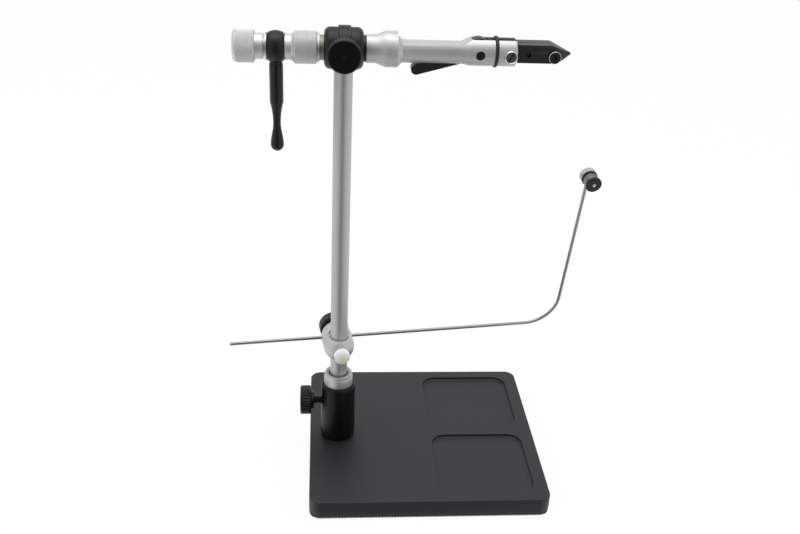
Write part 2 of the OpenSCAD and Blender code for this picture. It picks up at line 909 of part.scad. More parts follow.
module jaw_head() {
    block_r = block_d / 2;
    bar_r = bar_d / 2;
    swell_r = swell_d / 2;
    color([0.78, 0.79, 0.8])
        on_head()
            difference() {
                union() {
                    turned_x([[0, head_x0], [shank_d / 2 - head_edge, head_x0],
                        [shank_d / 2, head_x0 + head_edge], [shank_d / 2, head_x0 + shank_l],
                        [swell_r, swell_x0], [swell_r, swell_x1], [bar_r, bar_x0],
                        [bar_r, bar_x1], [block_r, block_x0 - rise_l / 4],
                        [block_r, block_x1 - block_edge_r],
                        [block_r - block_edge_r, block_x1 - block_edge_r],
                        [block_r - block_edge_r, block_x1], [0, block_x1]]);
                    translate([block_x1 - block_edge_r, 0, 0])
                        rotate([0, 90, 0])
                            rotate_extrude()
                                translate([block_r - block_edge_r, 0])
                                    intersection() {
                                        circle(block_edge_r);
                                        square(block_edge_r);
                                    }
                }
                top_mill();
                slot_cut();
                bar_x(spindle_r + fixed_gap, head_x0 - cut, head_x0 + spindle_grip + face_gap);
                translate([cam_x, 0, -cam_drop])
                    bar_y(cam_pin_d / 2 + fixed_gap, -block_d, block_d);
                translate([jaw_screw_x, 0, -jaw_screw_drop])
                    jaw_screw_holes();
            }
}

// What is milled off the top: a hollow end cut by a round mill, the flat, a slope and the block's flat.
module top_mill() {
    rise_end = block_x0 - rise_l / 8;
    above = swell_d / 2 + cut;
    translate([bar_x0 + mill_r / 2, 0, bar_flat_h + mill_r])
        bar_y(mill_r, -mill_side, mill_side);
    plate_y([[bar_x0 - mill_r / 2, bar_flat_h + mill_r], [bar_x0 + mill_r / 2, bar_flat_h + mill_r],
        [bar_x0 + mill_r / 2, bar_flat_h], [bar_x1, bar_flat_h], [rise_end, block_flat_h],
        [block_x1 + cut, block_flat_h], [block_x1 + cut, above + cut],
        [bar_x0 - mill_r / 2, above + cut]], 2 * mill_side);
}

// The slot: right through the block, a round pocket for the cam, and a roofed channel
// for the lever that opens only below.
module slot_cut() {
    low_x = cam_x - lever_l - lever_d / 2 - lever_roof_gap;
    below = -block_d;
    plate_y([[low_x, below], [low_x, lever_top(low_x) + lever_roof_gap],
        [cam_x, lever_top(cam_x) + lever_roof_gap], [cam_x, block_d],
        [block_x1 + cut, block_d], [block_x1 + cut, below]], slot_w);
    translate([cam_x, 0, -cam_drop])
        bar_y(hump_reach + pocket_gap, -slot_w / 2, slot_w / 2);
}

// Height of the lever's upper side at a place along the bar.
function lever_top(x) =
    -cam_drop - (cam_x - x) * tan(lever_slope) + lever_d / 2 / cos(lever_slope);

// The screw's holes: a countersunk ring, a pocket for its head, and the thread behind.
module jaw_screw_holes() {
    face_y = sqrt(pow(block_d / 2, 2) - pow(jaw_screw_drop, 2));
    ring_depth = (jaw_screw_ring_d - jaw_screw_head_d) / 2;
    head_r = jaw_screw_head_d / 2 + fixed_gap;
    bar_y(jaw_screw_d / 2 + fixed_gap, -block_d, block_d);
    bar_y(head_r, -block_d, -face_y + jaw_screw_head_t - jaw_screw_proud);
    translate([0, -face_y + ring_depth / 2, 0])
        rotate([90, 0, 0])
            cylinder(r1 = head_r, r2 = head_r + ring_depth, h = ring_depth);
    bar_y(head_r + ring_depth, -face_y - ring_depth / 2, -block_d);
}

module cam_pin() {
    half = sqrt(pow(block_d / 2, 2) - pow(cam_drop, 2)) - cam_pin_recess;
    color([0.1, 0.1, 0.1])
        on_head()
            translate([cam_x, 0, -cam_drop])
                bar_y(cam_pin_d / 2, -half, half);
}

// The lever: an off-centre disc that pushes the wedge, a second one that stands up through
// the slot, and a straight arm with a round end.
module cam_lever() {
    w = slot_w - 2 * lever_side_gap;
    color([0.07, 0.07, 0.07])
        on_head()
            translate([cam_x, 0, -cam_drop])
                difference() {
                    union() {
                        translate([cam_throw * cos(cam_turn), 0, cam_throw * sin(cam_turn)])
                            bar_y(cam_d / 2, -w / 2, w / 2);
                        translate([-hump_back, 0, hump_up])
                            bar_y(hump_d / 2, -w / 2, w / 2);
                        rotate([0, 180 - lever_slope, 0]) {
                            translate([lever_l / 2, 0, 0])
                                cube([lever_l, w, lever_d], center = true);
                            translate([lever_l, 0, 0])
                                bar_y(lever_d / 2, -w / 2, w / 2);
                        }
                    }
                    bar_y(cam_pin_d / 2 + run_gap, -slot_w, slot_w);
                }
}

module wedge_plunger()
    color([0.55, 0.56, 0.57])
        on_head()
            translate([0, 0, -wedge_h / 2])
                linear_extrude(wedge_h)
                    polygon([[wedge_x0, -wedge_w / 2], [wedge_x1, -wedge_w / 2],
                        [wedge_x2, -wedge_nose_w / 2], [wedge_x2, wedge_nose_w / 2],
                        [wedge_x1, wedge_w / 2], [wedge_x0, wedge_w / 2]]);

module jaw_screw() {
    face_y = sqrt(pow(block_d / 2, 2) - pow(jaw_screw_drop, 2));
    front = -face_y - jaw_screw_proud;
    color([0.75, 0.76, 0.77])
        on_head()
            translate([jaw_screw_x, 0, -jaw_screw_drop])
                difference() {
                    union() {
                        bar_y(jaw_screw_d / 2, front, face_y - cam_pin_recess);
                        bar_y(jaw_screw_head_d / 2, front, front + jaw_screw_head_t - fixed_gap);
                    }
                    rotate([0, -jaw_screw_slot_turn, 0])
                        translate([-jaw_screw_d, front - cut, -jaw_screw_slot_w / 2])
                            cube([2 * jaw_screw_d, jaw_screw_slot_h + cut, jaw_screw_slot_w]);
                }
}

// The rear jaw without its holes; the front jaw is its mirror image.
module jaw_blank() {
    slot_half = slot_w / 2 - tail_side_gap;
    half_w = jaw_w / 2;
    relief_gap = jaw_face_gap + (fulcrum_x - jaw_screw_x) * jaw_relief;
    tail_x = wedge_x1 + wedge_side_gap;
    tail_half = wedge_w / 2 + wedge_side_gap;
    wedge_end = wedge_x2 + wedge_side_gap;
    intersection() {
        union() {
            plate_y([[jaw_x0, -jaw_down], [jaw_tip - nose_under_l, -jaw_down],
                [jaw_tip - tip_round, -tip_half_h], [jaw_tip, 0],
                [jaw_tip - tip_round, tip_half_h], [jaw_tip - nose_l, jaw_up],
                [jaw_x0, jaw_up]], 2 * jaw_w);
            plate_y([[tail_x, -tail_down], [jaw_x0 + cut, -tail_down],
                [jaw_x0 + cut, jaw_up], [jaw_x0, jaw_up], [jaw_x0, tail_up],
                [tail_x, tail_up]], 2 * jaw_w);
        }
        translate([0, 0, -block_d])
            linear_extrude(2 * block_d)
                polygon([[tail_x, slot_half], [jaw_x0, slot_half], [jaw_x0, half_w],
                    [jaw_tip - nose_side_l, half_w], [jaw_tip - tip_round, tip_half_w],
                    [jaw_tip, tip_half_w / 2], [jaw_tip, jaw_face_gap],
                    [fulcrum_x, jaw_face_gap],
                    [wedge_end + wedge_nose_w, relief_gap], [wedge_end, relief_gap],
                    [wedge_end, wedge_nose_w / 2 + wedge_side_gap],
                    [tail_x, tail_half]]);
    }
}

module front_jaw()
    color([0.1, 0.1, 0.11])
        on_head()
            difference() {
                mirror([0, 1, 0])
                    jaw_blank();
                translate([jaw_screw_x, 0, -jaw_screw_drop])
                    bar_y(jaw_screw_d / 2 + jaw_screw_side_gap, -jaw_w, 0);
                translate([guide_x, 0, 0])
                    bar_y(guide_hole_d / 2, -jaw_w, 0);
                translate([fulcrum_x, 0, -adjust_drop]) {
                    bar_y(adjust_shank_d / 2 + adjust_hole_gap, -jaw_w, 0);
                    bar_y(adjust_d / 2 + adjust_pocket_gap, -jaw_w,
                        -jaw_w / 2 + adjust_recess);
                }
            }

module rear_jaw()
    color([0.1, 0.1, 0.11])
        on_head()
            difference() {
                jaw_blank();
                translate([jaw_screw_x, 0, -jaw_screw_drop])
                    bar_y(jaw_screw_d / 2 + jaw_screw_side_gap, 0, jaw_w);
                translate([guide_x, 0, 0])
                    bar_y(guide_d / 2 + fixed_gap, 0, jaw_w);
                translate([fulcrum_x, 0, -adjust_drop])
                    bar_y(adjust_shank_d / 2 + run_gap, 0, jaw_w);
            }

module jaw_guide_pin()
    color([0.6, 0.6, 0.6])
        on_head()
            translate([guide_x, 0, 0])
                bar_y(guide_d / 2, guide_recess - jaw_w / 2, jaw_w / 2);

module jaw_adjust_screw() {
    seat = -jaw_w / 2 + adjust_recess - adjust_seat_gap;
    front = seat - adjust_head_t;
    head_r = adjust_d / 2;
    color([0.05, 0.05, 0.06])
        on_head()
            translate([fulcrum_x, 0, -adjust_drop])
                rotate([90, 0, 0])
                    difference() {
                        rotate_extrude()
                            polygon([[0, -jaw_w / 2], [adjust_shank_d / 2, -jaw_w / 2],
                                [adjust_shank_d / 2, -seat], [head_r, -seat],
                                [head_r, -front - adjust_bevel], [head_r - adjust_bevel, -front],
                                [0, -front]]);
                        translate([0, 0, -front - adjust_hex_h])
                            cylinder(d = adjust_hex / cos(30), h = adjust_hex_h + cut, $fn = 6);
                    }
}

module head_o_ring()
    color([0.08, 0.08, 0.09])
        on_head()
            translate([block_x1 - o_ring_inset, 0, 0])
                rotate([0, 90, 0])
                    rotate_extrude()
                        translate([block_d / 2 + o_ring_d / 2 + o_ring_gap, 0])
                            circle(d = o_ring_d, $fn = 32);

module cradle_clamp() {
    face_r = clamp_r * clamp_face_r_share;
    rear = rod_offset + clamp_r - clamp_rear_cut;
    color([0.78, 0.79, 0.8])
        on_cradle()
            difference() {
                union() {
                    sphere(r = clamp_r);
                    bar_y(clamp_r, 0, rod_offset);
                    translate([0, rod_offset, 0])
                        sphere(r = clamp_r);
                }
                for (side = [0, 180])
                    rotate([side, 0, 0])
                        translate([0, 0, clamp_face_h])
                            cylinder(r = face_r, h = clamp_r);
                translate([0, 0, -clamp_d])
                    cylinder(r = stem_bore_r, h = 2 * clamp_d);
                for (side = [0, 180])
                    rotate([side, 0, 0])
                        translate([0, 0, clamp_face_h - clamp_mouth])
                            cylinder(r1 = stem_bore_r, r2 = stem_bore_r + clamp_mouth + cut,
                                h = clamp_mouth + cut);
                translate([0, rod_offset, 0])
                    bar_x(rod_d / 2 + run_gap, -clamp_d, clamp_d);
                bar_y(nylon_d / 2 + run_gap, -clamp_d, 0);
                bar_y(knob_hole_r, rod_offset, rear + clamp_d);
                translate([-clamp_d, rear, -clamp_d])
                    cube([2 * clamp_d, clamp_d, 2 * clamp_d]);
            }
}

module clamp_stem_screw() {
    neck_z = clamp_r + nylon_neck_l;
    end_z = neck_z + nylon_head_l;
    head_r = nylon_head_d / 2;
    color([0.93, 0.95, 0.88])
        on_cradle()
            rotate([90, 0, 0])
                rotate_extrude()
                    polygon([[0, stem_r + face_gap], [nylon_d / 2, stem_r + face_gap],
                        [nylon_d / 2, neck_z], [head_r, neck_z],
                        [head_r, end_z - nylon_edge_r],
                        [head_r - nylon_edge_r * (1 - cos(45)), end_z - nylon_edge_r * (1 - sin(45))],
                        [head_r - nylon_edge_r, end_z],
                        [head_r / 2, end_z + nylon_dome * 3 / 4], [0, end_z + nylon_dome]]);
}

// The clamp's knob lies behind it, along +Y: its own +Z points to the back.
module on_rod_screw()
    on_cradle()
        rotate([-90, 0, 0])
            children();

rod_knob_z = rod_offset + clamp_r - clamp_rear_cut + face_gap;

module clamp_rod_screw()
    color([0.15, 0.15, 0.15])
        on_rod_screw()
            knob_stud(rod_offset + rod_d / 2 + run_gap, rod_knob_z);

module clamp_rod_knob()
    color([0.06, 0.06, 0.06])
        on_rod_screw()
            translate([0, 0, rod_knob_z])
                thumb_knob(0);

// The rod's own frame: X along the lower leg, the bend in the XZ plane, leaning to the front.
module on_rod()
    on_cradle()
        translate([0, rod_offset, 0])
            rotate([rod_lean, 0, 0])
                children();

module cradle_rod() {
    r = rod_d / 2;
    bend_x = rod_reach - rod_bend_r;
    top = rod_rise - axle_d / 2 - rod_top_gap;
    color([0.7, 0.7, 0.68])
        on_rod() {
            bar_x(r, -rod_tail, bend_x);
            translate([bend_x, 0, rod_bend_r])
                rotate([90, 0, 0])
                    rotate([0, 0, -90])
                        rotate_extrude(angle = 90)
                            translate([rod_bend_r, 0])
                                circle(r);
            translate([rod_reach, 0, rod_bend_r])
                cylinder(r = r, h = top - rod_bend_r);
        }
}

// Moves its children to the roller's axis at the rod's top end; -Y is to the front.
module on_roller()
    on_rod()
        translate([rod_reach, 0, rod_rise])
            children();

module roller_hub()
    color([0.62, 0.63, 0.64])
        on_roller()
            difference() {
                bar_y(roller_d / 2, -hub_front, hub_back);
                bar_y(axle_d / 2 + fixed_gap, -hub_front - cut, axle_grip - hub_front);
                translate([0, 0, -roller_d])
                    cylinder(r = rod_d / 2 + fixed_gap,
                        h = roller_d - axle_d / 2 - rod_top_gap + fixed_gap);
            }

module roller_axle()
    color([0.75, 0.75, 0.75])
        on_roller() {
            bar_y(axle_d / 2, disc_y1 - face_gap - axle_head_t, axle_grip - hub_front - fixed_gap);
            bar_y(axle_head_d / 2, disc_y1 - face_gap - axle_head_t, disc_y1 - face_gap);
        }

module roller_drum()
    color([0.7, 0.71, 0.72])
        on_roller()
            difference() {
                bar_y(roller_d / 2 - drum_inset, ring_y1, drum_y1);
                bar_y(axle_d / 2 + run_gap, ring_y1 + cut, drum_y1 - cut);
            }

module roller_front_disc()
    color([0.05, 0.05, 0.06])
        on_roller()
            rotate([90, 0, 0])
                rotate_extrude()
                    polygon([[axle_d / 2 + run_gap, -drum_y1], [roller_d / 2, -drum_y1],
                        [roller_d / 2, -disc_y1 - disc_edge], [roller_d / 2 - disc_edge, -disc_y1],
                        [axle_d / 2 + run_gap, -disc_y1]]);

module roller_ring()
    color([0.05, 0.05, 0.06])
        on_roller()
            difference() {
                bar_y(roller_d / 2, ring_y0, ring_y1);
                bar_y(axle_d / 2 + run_gap, ring_y0 + cut, ring_y1 - cut);
            }

base_plate();
base_mat();
stem_socket();
socket_bolt();
socket_screw_pad();
socket_thumb_screw();
socket_thumb_knob();
height_collar();
height_collar_screw();
stem();
head_housing();
rear_bush();
front_bush();
drag_pad();
drag_screw();
drag_knob();
spindle();
knurled_collar();
knurled_collar_screw();
crank_hub();
crank_handle();
crank_washer();
lock_knob();
jaw_head();
cam_pin();
cam_lever();
wedge_plunger();
jaw_screw();
front_jaw();
rear_jaw();
jaw_guide_pin();
jaw_adjust_screw();
head_o_ring();
cradle_clamp();
clamp_stem_screw();
clamp_rod_screw();
clamp_rod_knob();
cradle_rod();
roller_hub();
roller_axle();
roller_drum();
roller_front_disc();
roller_ring();
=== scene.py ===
import json
import math

import bmesh
import bpy
import numpy as np
from mathutils import Matrix, Vector


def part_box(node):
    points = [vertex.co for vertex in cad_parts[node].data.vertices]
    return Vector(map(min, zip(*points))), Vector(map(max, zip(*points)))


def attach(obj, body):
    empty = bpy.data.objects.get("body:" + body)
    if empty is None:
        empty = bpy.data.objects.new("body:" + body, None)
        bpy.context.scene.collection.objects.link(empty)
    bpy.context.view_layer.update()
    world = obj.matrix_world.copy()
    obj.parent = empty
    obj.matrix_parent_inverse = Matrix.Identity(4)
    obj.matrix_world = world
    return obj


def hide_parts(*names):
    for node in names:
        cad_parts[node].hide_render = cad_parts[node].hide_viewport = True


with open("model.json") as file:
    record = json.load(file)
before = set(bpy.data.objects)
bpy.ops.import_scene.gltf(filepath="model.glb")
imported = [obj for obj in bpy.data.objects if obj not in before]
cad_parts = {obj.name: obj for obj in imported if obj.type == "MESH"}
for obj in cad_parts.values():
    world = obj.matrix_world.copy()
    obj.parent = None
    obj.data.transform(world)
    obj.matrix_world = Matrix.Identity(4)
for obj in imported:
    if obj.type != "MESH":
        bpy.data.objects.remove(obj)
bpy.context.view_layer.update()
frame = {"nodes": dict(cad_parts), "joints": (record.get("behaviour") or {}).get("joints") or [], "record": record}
nodes = frame["nodes"]
mm = 0.001

# The view. The camera stands in front of the vise and above it, a little to the left of the
# stem. Its place and turn were solved from the edges of the base, the stem and the head.
view_turn, view_dip, view_tilt = 0.0932, 0.4806, -0.0484
view_place = Vector((-0.01127, -0.46944, 0.36743))
view_focal_px, view_width_px, view_sensor = 973.4, 800, 36
view_near, view_far = 0.01, 20

forward = Vector((math.sin(view_turn) * math.cos(view_dip),
                  math.cos(view_turn) * math.cos(view_dip), -math.sin(view_dip)))
level = Vector((math.cos(view_turn), -math.sin(view_turn), 0))
down = forward.cross(level)
right = math.cos(view_tilt) * level + math.sin(view_tilt) * down
down = -math.sin(view_tilt) * level + math.cos(view_tilt) * down

camera = bpy.data.objects.new("photo_view", bpy.data.cameras.new("photo_view"))
camera.data.sensor_width = view_sensor
camera.data.lens = view_sensor * view_focal_px / view_width_px
camera.data.clip_start, camera.data.clip_end = view_near, view_far
camera.matrix_world = Matrix.Translation(view_place) @ Matrix(
    (right, -down, -forward)).transposed().to_4x4()
bpy.context.scene.collection.objects.link(camera)
bpy.context.scene.camera = camera
bpy.context.scene.view_settings.view_transform = "Standard"

# The light. A white tent, bright above, behind and at the sides, with one dark opening in
# front, where the photographer stands. Metal shows that as a dark middle between light edges.
tent_bright, opening_dim = 0.76, 0.064
opening_side, opening_edge, opening_full = 0.9, -0.3, -0.78
softbox_size, softbox_power = (0.9, 0.7), 4.0
softbox_place = (-0.05, 0.05, 1.1)


def node_of(tree, kind, **settings):
    """Adds one shader node; settings are its properties, or the values of its sockets."""
    n = tree.nodes.new(kind)
    for key, value in settings.items():
        if hasattr(n, key):
            setattr(n, key, value)
        else:
            n.inputs[key.replace("_", " ")].default_value = value
    return n


def joined(tree, *pairs):
    """Links each pair of an output and an input."""
    for out, into in pairs:
        tree.links.new(out, into)


world = bpy.data.worlds.new("white_tent")
bpy.context.scene.world = world
world.use_nodes = True
sky = world.node_tree
sky.nodes.clear()
look = node_of(sky, "ShaderNodeTexCoord")
parts = node_of(sky, "ShaderNodeSeparateXYZ")
aside = node_of(sky, "ShaderNodeMath", operation="ABSOLUTE")
spread = node_of(sky, "ShaderNodeMath", operation="MULTIPLY_ADD")
spread.inputs[1].default_value = opening_side
opening = node_of(sky, "ShaderNodeMapRange", interpolation_type="SMOOTHSTEP")
opening.inputs["From Min"].default_value = opening_edge
opening.inputs["From Max"].default_value = opening_full
shade = node_of(sky, "ShaderNodeMix", data_type="FLOAT")
shade.inputs[2].default_value = tent_bright
shade.inputs[3].default_value = opening_dim
rays = node_of(sky, "ShaderNodeLightPath")
seen = node_of(sky, "ShaderNodeMix", data_type="FLOAT")
seen.inputs[3].default_value = 1.0
back = node_of(sky, "ShaderNodeBackground", Color=(1, 1, 1, 1))
out = node_of(sky, "ShaderNodeOutputWorld")
joined(sky, (look.outputs["Generated"], parts.inputs[0]), (parts.outputs["X"], aside.inputs[0]),
       (aside.outputs[0], spread.inputs[0]), (parts.outputs["Y"], spread.inputs[2]),
       (spread.outputs[0], opening.inputs["Value"]), (opening.outputs[0], shade.inputs[0]),
       (shade.outputs[0], seen.inputs[2]), (rays.outputs["Is Camera Ray"], seen.inputs[0]),
       (seen.outputs[0], back.inputs["Strength"]), (back.outputs[0], out.inputs["Surface"]))

lamp = bpy.data.objects.new("softbox", bpy.data.lights.new("softbox", "AREA"))
lamp.data.shape = "RECTANGLE"
lamp.data.size, lamp.data.size_y = softbox_size
lamp.data.energy = softbox_power
lamp.location = softbox_place
bpy.context.scene.collection.objects.link(lamp)

# The floor. White paper that reaches from the base's front edge to far behind the vise, and
# keeps a faint shadow under the base. In front of it the tent's opening begins.
paper_front, paper_back, paper_half = -0.066, 2.75, 1.5
paper_tone, paper_glow = 0.95, 0.94
sheet = bpy.data.meshes.new("floor")
sheet.from_pydata([(-paper_half, paper_front, 0), (paper_half, paper_front, 0),
                   (paper_half, paper_back, 0), (-paper_half, paper_back, 0)], [], [(0, 1, 2, 3)])
floor = bpy.data.objects.new("floor", sheet)
bpy.context.scene.collection.objects.link(floor)
paper = bpy.data.materials.new("white_paper")
paper.use_nodes = True
tree = paper.node_tree
tree.nodes.clear()
rays = node_of(tree, "ShaderNodeLightPath")
mirrored = node_of(tree, "ShaderNodeMath", operation="MAXIMUM")
direct = node_of(tree, "ShaderNodeMath", operation="MAXIMUM")
share = node_of(tree, "ShaderNodeMath", operation="MULTIPLY")
share.inputs[1].default_value = paper_glow
matt = node_of(tree, "ShaderNodeBsdfDiffuse")
matt.inputs["Color"].default_value = (paper_tone, paper_tone, paper_tone, 1)
glow = node_of(tree, "ShaderNodeEmission")
mix = node_of(tree, "ShaderNodeMixShader")
out = node_of(tree, "ShaderNodeOutputMaterial")
joined(tree, (rays.outputs["Is Camera Ray"], mirrored.inputs[0]),
       (rays.outputs["Is Glossy Ray"], mirrored.inputs[1]),
       (mirrored.outputs[0], direct.inputs[0]),
       (rays.outputs["Is Transmission Ray"], direct.inputs[1]),
       (direct.outputs[0], share.inputs[0]), (share.outputs[0], mix.inputs[0]),
       (matt.outputs[0], mix.inputs[1]), (glow.outputs[0], mix.inputs[2]),
       (mix.outputs[0], out.inputs["Surface"]))
sheet.materials.append(paper)

# The base plate. A thick steel plate with two milled trays. Its edges are broken with a fine
# round, and the whole plate has a black coat with a fine texture.
coat_black = (0.0095, 0.0098, 0.0140)
coat_grain, coat_depth = 2600, 0.05 * mm
plate_edge = 0.25 * mm
weld_gap = 0.002 * mm
cloud_detail, cloud_rough, grain_detail, grain_rough = 4.0, 0.6, 3.0, 0.55
grain_strength, cut_strength, cut_waver, cut_detail, least_rough = 0.6, 0.5, 0.6, 2.0, 0.02
flat_turn, edge_turn = math.radians(0.6), math.radians(32)


def finish(name, colour, roughness, metallic=0.0, cloud=0.12, cloud_scale=45, grain=6000,
           grain_depth=0.01 * mm, rough_spread=0.08, bands=None, band_depth=0.004 * mm,
           specular=0.5):
    """A surface finish on object coordinates: broad clouds vary the tone, a fine grain gives
    the bump and part of the roughness, and bands, given as an axis letter and a pitch in
    metres, add the lines that a tool leaves across that axis."""
    skin = bpy.data.materials.new(name)
    skin.use_nodes = True
    t = skin.node_tree
    t.nodes.clear()
    place = node_of(t, "ShaderNodeTexCoord")
    clouds = node_of(t, "ShaderNodeTexNoise", Scale=cloud_scale, Detail=cloud_detail,
                     Roughness=cloud_rough)
    fine = node_of(t, "ShaderNodeTexNoise", Scale=grain, Detail=grain_detail,
                   Roughness=grain_rough)
    tone = node_of(t, "ShaderNodeMix", data_type="RGBA", name="tone")
    tone.inputs[6].default_value = tuple(c * (1 - cloud) for c in colour) + (1,)
    tone.inputs[7].default_value = tuple(min(1, c * (1 + cloud)) for c in colour) + (1,)
    rough = node_of(t, "ShaderNodeMapRange")
    rough.inputs["To Min"].default_value = max(least_rough, roughness - rough_spread)
    rough.inputs["To Max"].default_value = min(1, roughness + rough_spread)
    bump = node_of(t, "ShaderNodeBump", Strength=grain_strength, Distance=grain_depth)
    shader = node_of(t, "ShaderNodeBsdfPrincipled", Metallic=metallic, name="shader")
    shader.inputs["Specular IOR Level"].default_value = specular
    result = node_of(t, "ShaderNodeOutputMaterial")
    joined(t, (place.outputs["Object"], clouds.inputs["Vector"]),
           (place.outputs["Object"], fine.inputs["Vector"]),
           (clouds.outputs[0], tone.inputs[0]), (tone.outputs[2], shader.inputs["Base Color"]),
           (fine.outputs[0], rough.inputs["Value"]), (rough.outputs[0], shader.inputs["Roughness"]),
           (fine.outputs[0], bump.inputs["Height"]), (bump.outputs[0], shader.inputs["Normal"]),
           (shader.outputs[0], result.inputs["Surface"]))
    if bands:
        axis, pitch = bands
        lines = node_of(t, "ShaderNodeTexWave", wave_type="BANDS", bands_direction=axis,
                        Scale=math.pi / (10 * pitch), Distortion=cut_waver, Detail=cut_detail)
        cut = node_of(t, "ShaderNodeBump", Strength=cut_strength, Distance=band_depth)
        joined(t, (place.outputs["Object"], lines.inputs["Vector"]),
               (lines.outputs[1], cut.inputs["Height"]), (bump.outputs[0], cut.inputs["Normal"]),
               (cut.outputs[0], shader.inputs["Normal"]))
    return skin


def dress(skin, *names):
    """Gives CAD nodes this finish."""
    for name in names:
        mesh = nodes[name].data
        mesh.materials.clear()
        mesh.materials.append(skin)


def seat(piece, body, node):
    """The piece rides on the body and stands for the node, which is hidden."""
    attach(piece, body)
    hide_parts(node)


def eased(name, node, body, skin, edge=0.12 * mm, steps=2):
    """A copy of a CAD node with its loose triangles welded and its flat faces joined. Edges
    that turn by more than edge_turn get a round of the given width, and faces keep their own
    shading beside it."""
    work = bmesh.new()
    work.from_mesh(nodes[node].data)
    bmesh.ops.remove_doubles(work, verts=work.verts, dist=weld_gap)
    bmesh.ops.dissolve_limit(work, angle_limit=flat_turn, verts=work.verts, edges=work.edges)
    bmesh.ops.recalc_face_normals(work, faces=work.faces)
    mesh = bpy.data.meshes.new(name)
    work.to_mesh(mesh)
    work.free()
    mesh.polygons.foreach_set("use_smooth", np.ones(len(mesh.polygons), bool))
    mesh.set_sharp_from_angle(angle=edge_turn)
    mesh.materials.append(skin)
    piece = bpy.data.objects.new(name, mesh)
    bpy.context.scene.collection.objects.link(piece)
    fillet = piece.modifiers.new("edge_round", "BEVEL")
    fillet.width = edge
    fillet.segments = steps
    fillet.limit_method = "ANGLE"
    fillet.angle_limit = edge_turn
    fillet.harden_normals = True
    seat(piece, body, node)
    return piece


textured_coat = finish("textured_black_coat", coat_black, 0.5, cloud=0.1, grain=coat_grain,
                       grain_depth=coat_depth, rough_spread=0.12, specular=0.6)
eased("plate", "base_plate", "base", textured_coat, edge=plate_edge)

# The mat. Black rubber, moulded with ribs from front to back, glued under the plate.
rubber = finish("black_rubber", (0.010, 0.010, 0.0105), 0.72, grain=3500,
                grain_depth=0.03 * mm)
dress(rubber, "base_mat")

# The socket. Turned steel with a matt black coat, held to the plate by a bolt from below.
matt_coat = finish("matt_black_coat", (0.003, 0.003, 0.0035), 0.42, cloud=0.1, grain=4200,
                   grain_depth=0.02 * mm, specular=0.25)
dress(matt_coat, "socket_bolt")
socket_r, socket_round, socket_round_steps = 9.75 * mm, 2 * mm, 8
socket_foot_bevel, socket_lift = 1.2 * mm, 0.3 * mm
socket_bore_r, socket_bore_l = 4.9 * mm, 30 * mm
seam_gap = 0.0002 * mm


def line_of(joint):
    """A joint's anchor and axis in the row frame, and two directions square to the axis."""
    record = next(j for j in frame["record"]["behaviour"]["joints"] if j["name"] == joint)
    start = np.array(record["pos_m"], float)
    along = np.array(record["axis"], float)
    along /= np.linalg.norm(along)
    across = np.cross(along, (0.0, 1.0, 0.0) if abs(along[2]) > 0.9 else (0.0, 0.0, 1.0))
    across /= np.linalg.norm(across)
    return start, along, across, np.cross(along, across)


def reach(node, line):
    """How far a CAD node reaches along a line, low and high, and its greatest radius about it."""
    mesh = nodes[node].data
    flat = np.empty(len(mesh.vertices) * 3)
    mesh.vertices.foreach_get("co", flat)
    start, along = line[:2]
    away = flat.reshape(-1, 3) - start
    t = away @ along
    r = np.linalg.norm(away - t[:, None] * along, axis=1)
    return t.min(), t.max(), r.max()


def surface(name, grid, skin, loop=False):
    """A closed surface through a grid of points, given as rows, columns and three coordinates.
    Each row closes on itself. The first row meets the last if loop is set, and otherwise both
    are single points. Points that meet are merged, and faces turned outwards."""
    rows, cols = grid.shape[:2]
    i = np.arange(rows if loop else rows - 1)[:, None]
    j = np.arange(cols)[None, :]
    after, beside = (i + 1) % rows, (j + 1) % cols
    faces = np.stack([i * cols + j, i * cols + beside, after * cols + beside,
                      after * cols + j], -1).reshape(-1, 4)
    mesh = bpy.data.meshes.new(name)
    mesh.from_pydata(grid.reshape(-1, 3).tolist(), [], faces.tolist())
    work = bmesh.new()
    work.from_mesh(mesh)
    bmesh.ops.remove_doubles(work, verts=work.verts, dist=seam_gap)
    bmesh.ops.recalc_face_normals(work, faces=work.faces)
    work.to_mesh(mesh)
    work.free()
    mesh.polygons.foreach_set("use_smooth", np.ones(len(mesh.polygons), bool))
    mesh.set_sharp_from_angle(angle=edge_turn)
    mesh.materials.append(skin)
    piece = bpy.data.objects.new(name, mesh)
    bpy.context.scene.collection.objects.link(piece)
    return piece


def spun(name, profile, line, skin, loop=False, cols=96, relief=None):
    """A turned surface: each point (r, t) of the profile goes round the line in equal steps of
    the angle a, to start + t * along + r * (cos a * across + sin a * up). The profile begins
    and ends on the line, or closes up if loop is set. relief(t, a), if given, is the greatest
    radius left at each place."""
    start, along, across, up = line
    profile = np.asarray(profile, float)
    t = profile[:, 1:2]
    a = np.arange(cols)[None, :] * 2 * math.pi / cols
    r = np.broadcast_to(profile[:, 0:1], (len(profile), cols))
    if relief is not None:
        r = np.minimum(r, relief(t, a))
    grid = (start + (t + 0 * a)[..., None] * along
            + (r * np.cos(a))[..., None] * across + (r * np.sin(a))[..., None] * up)
    return surface(name, grid, skin, loop)


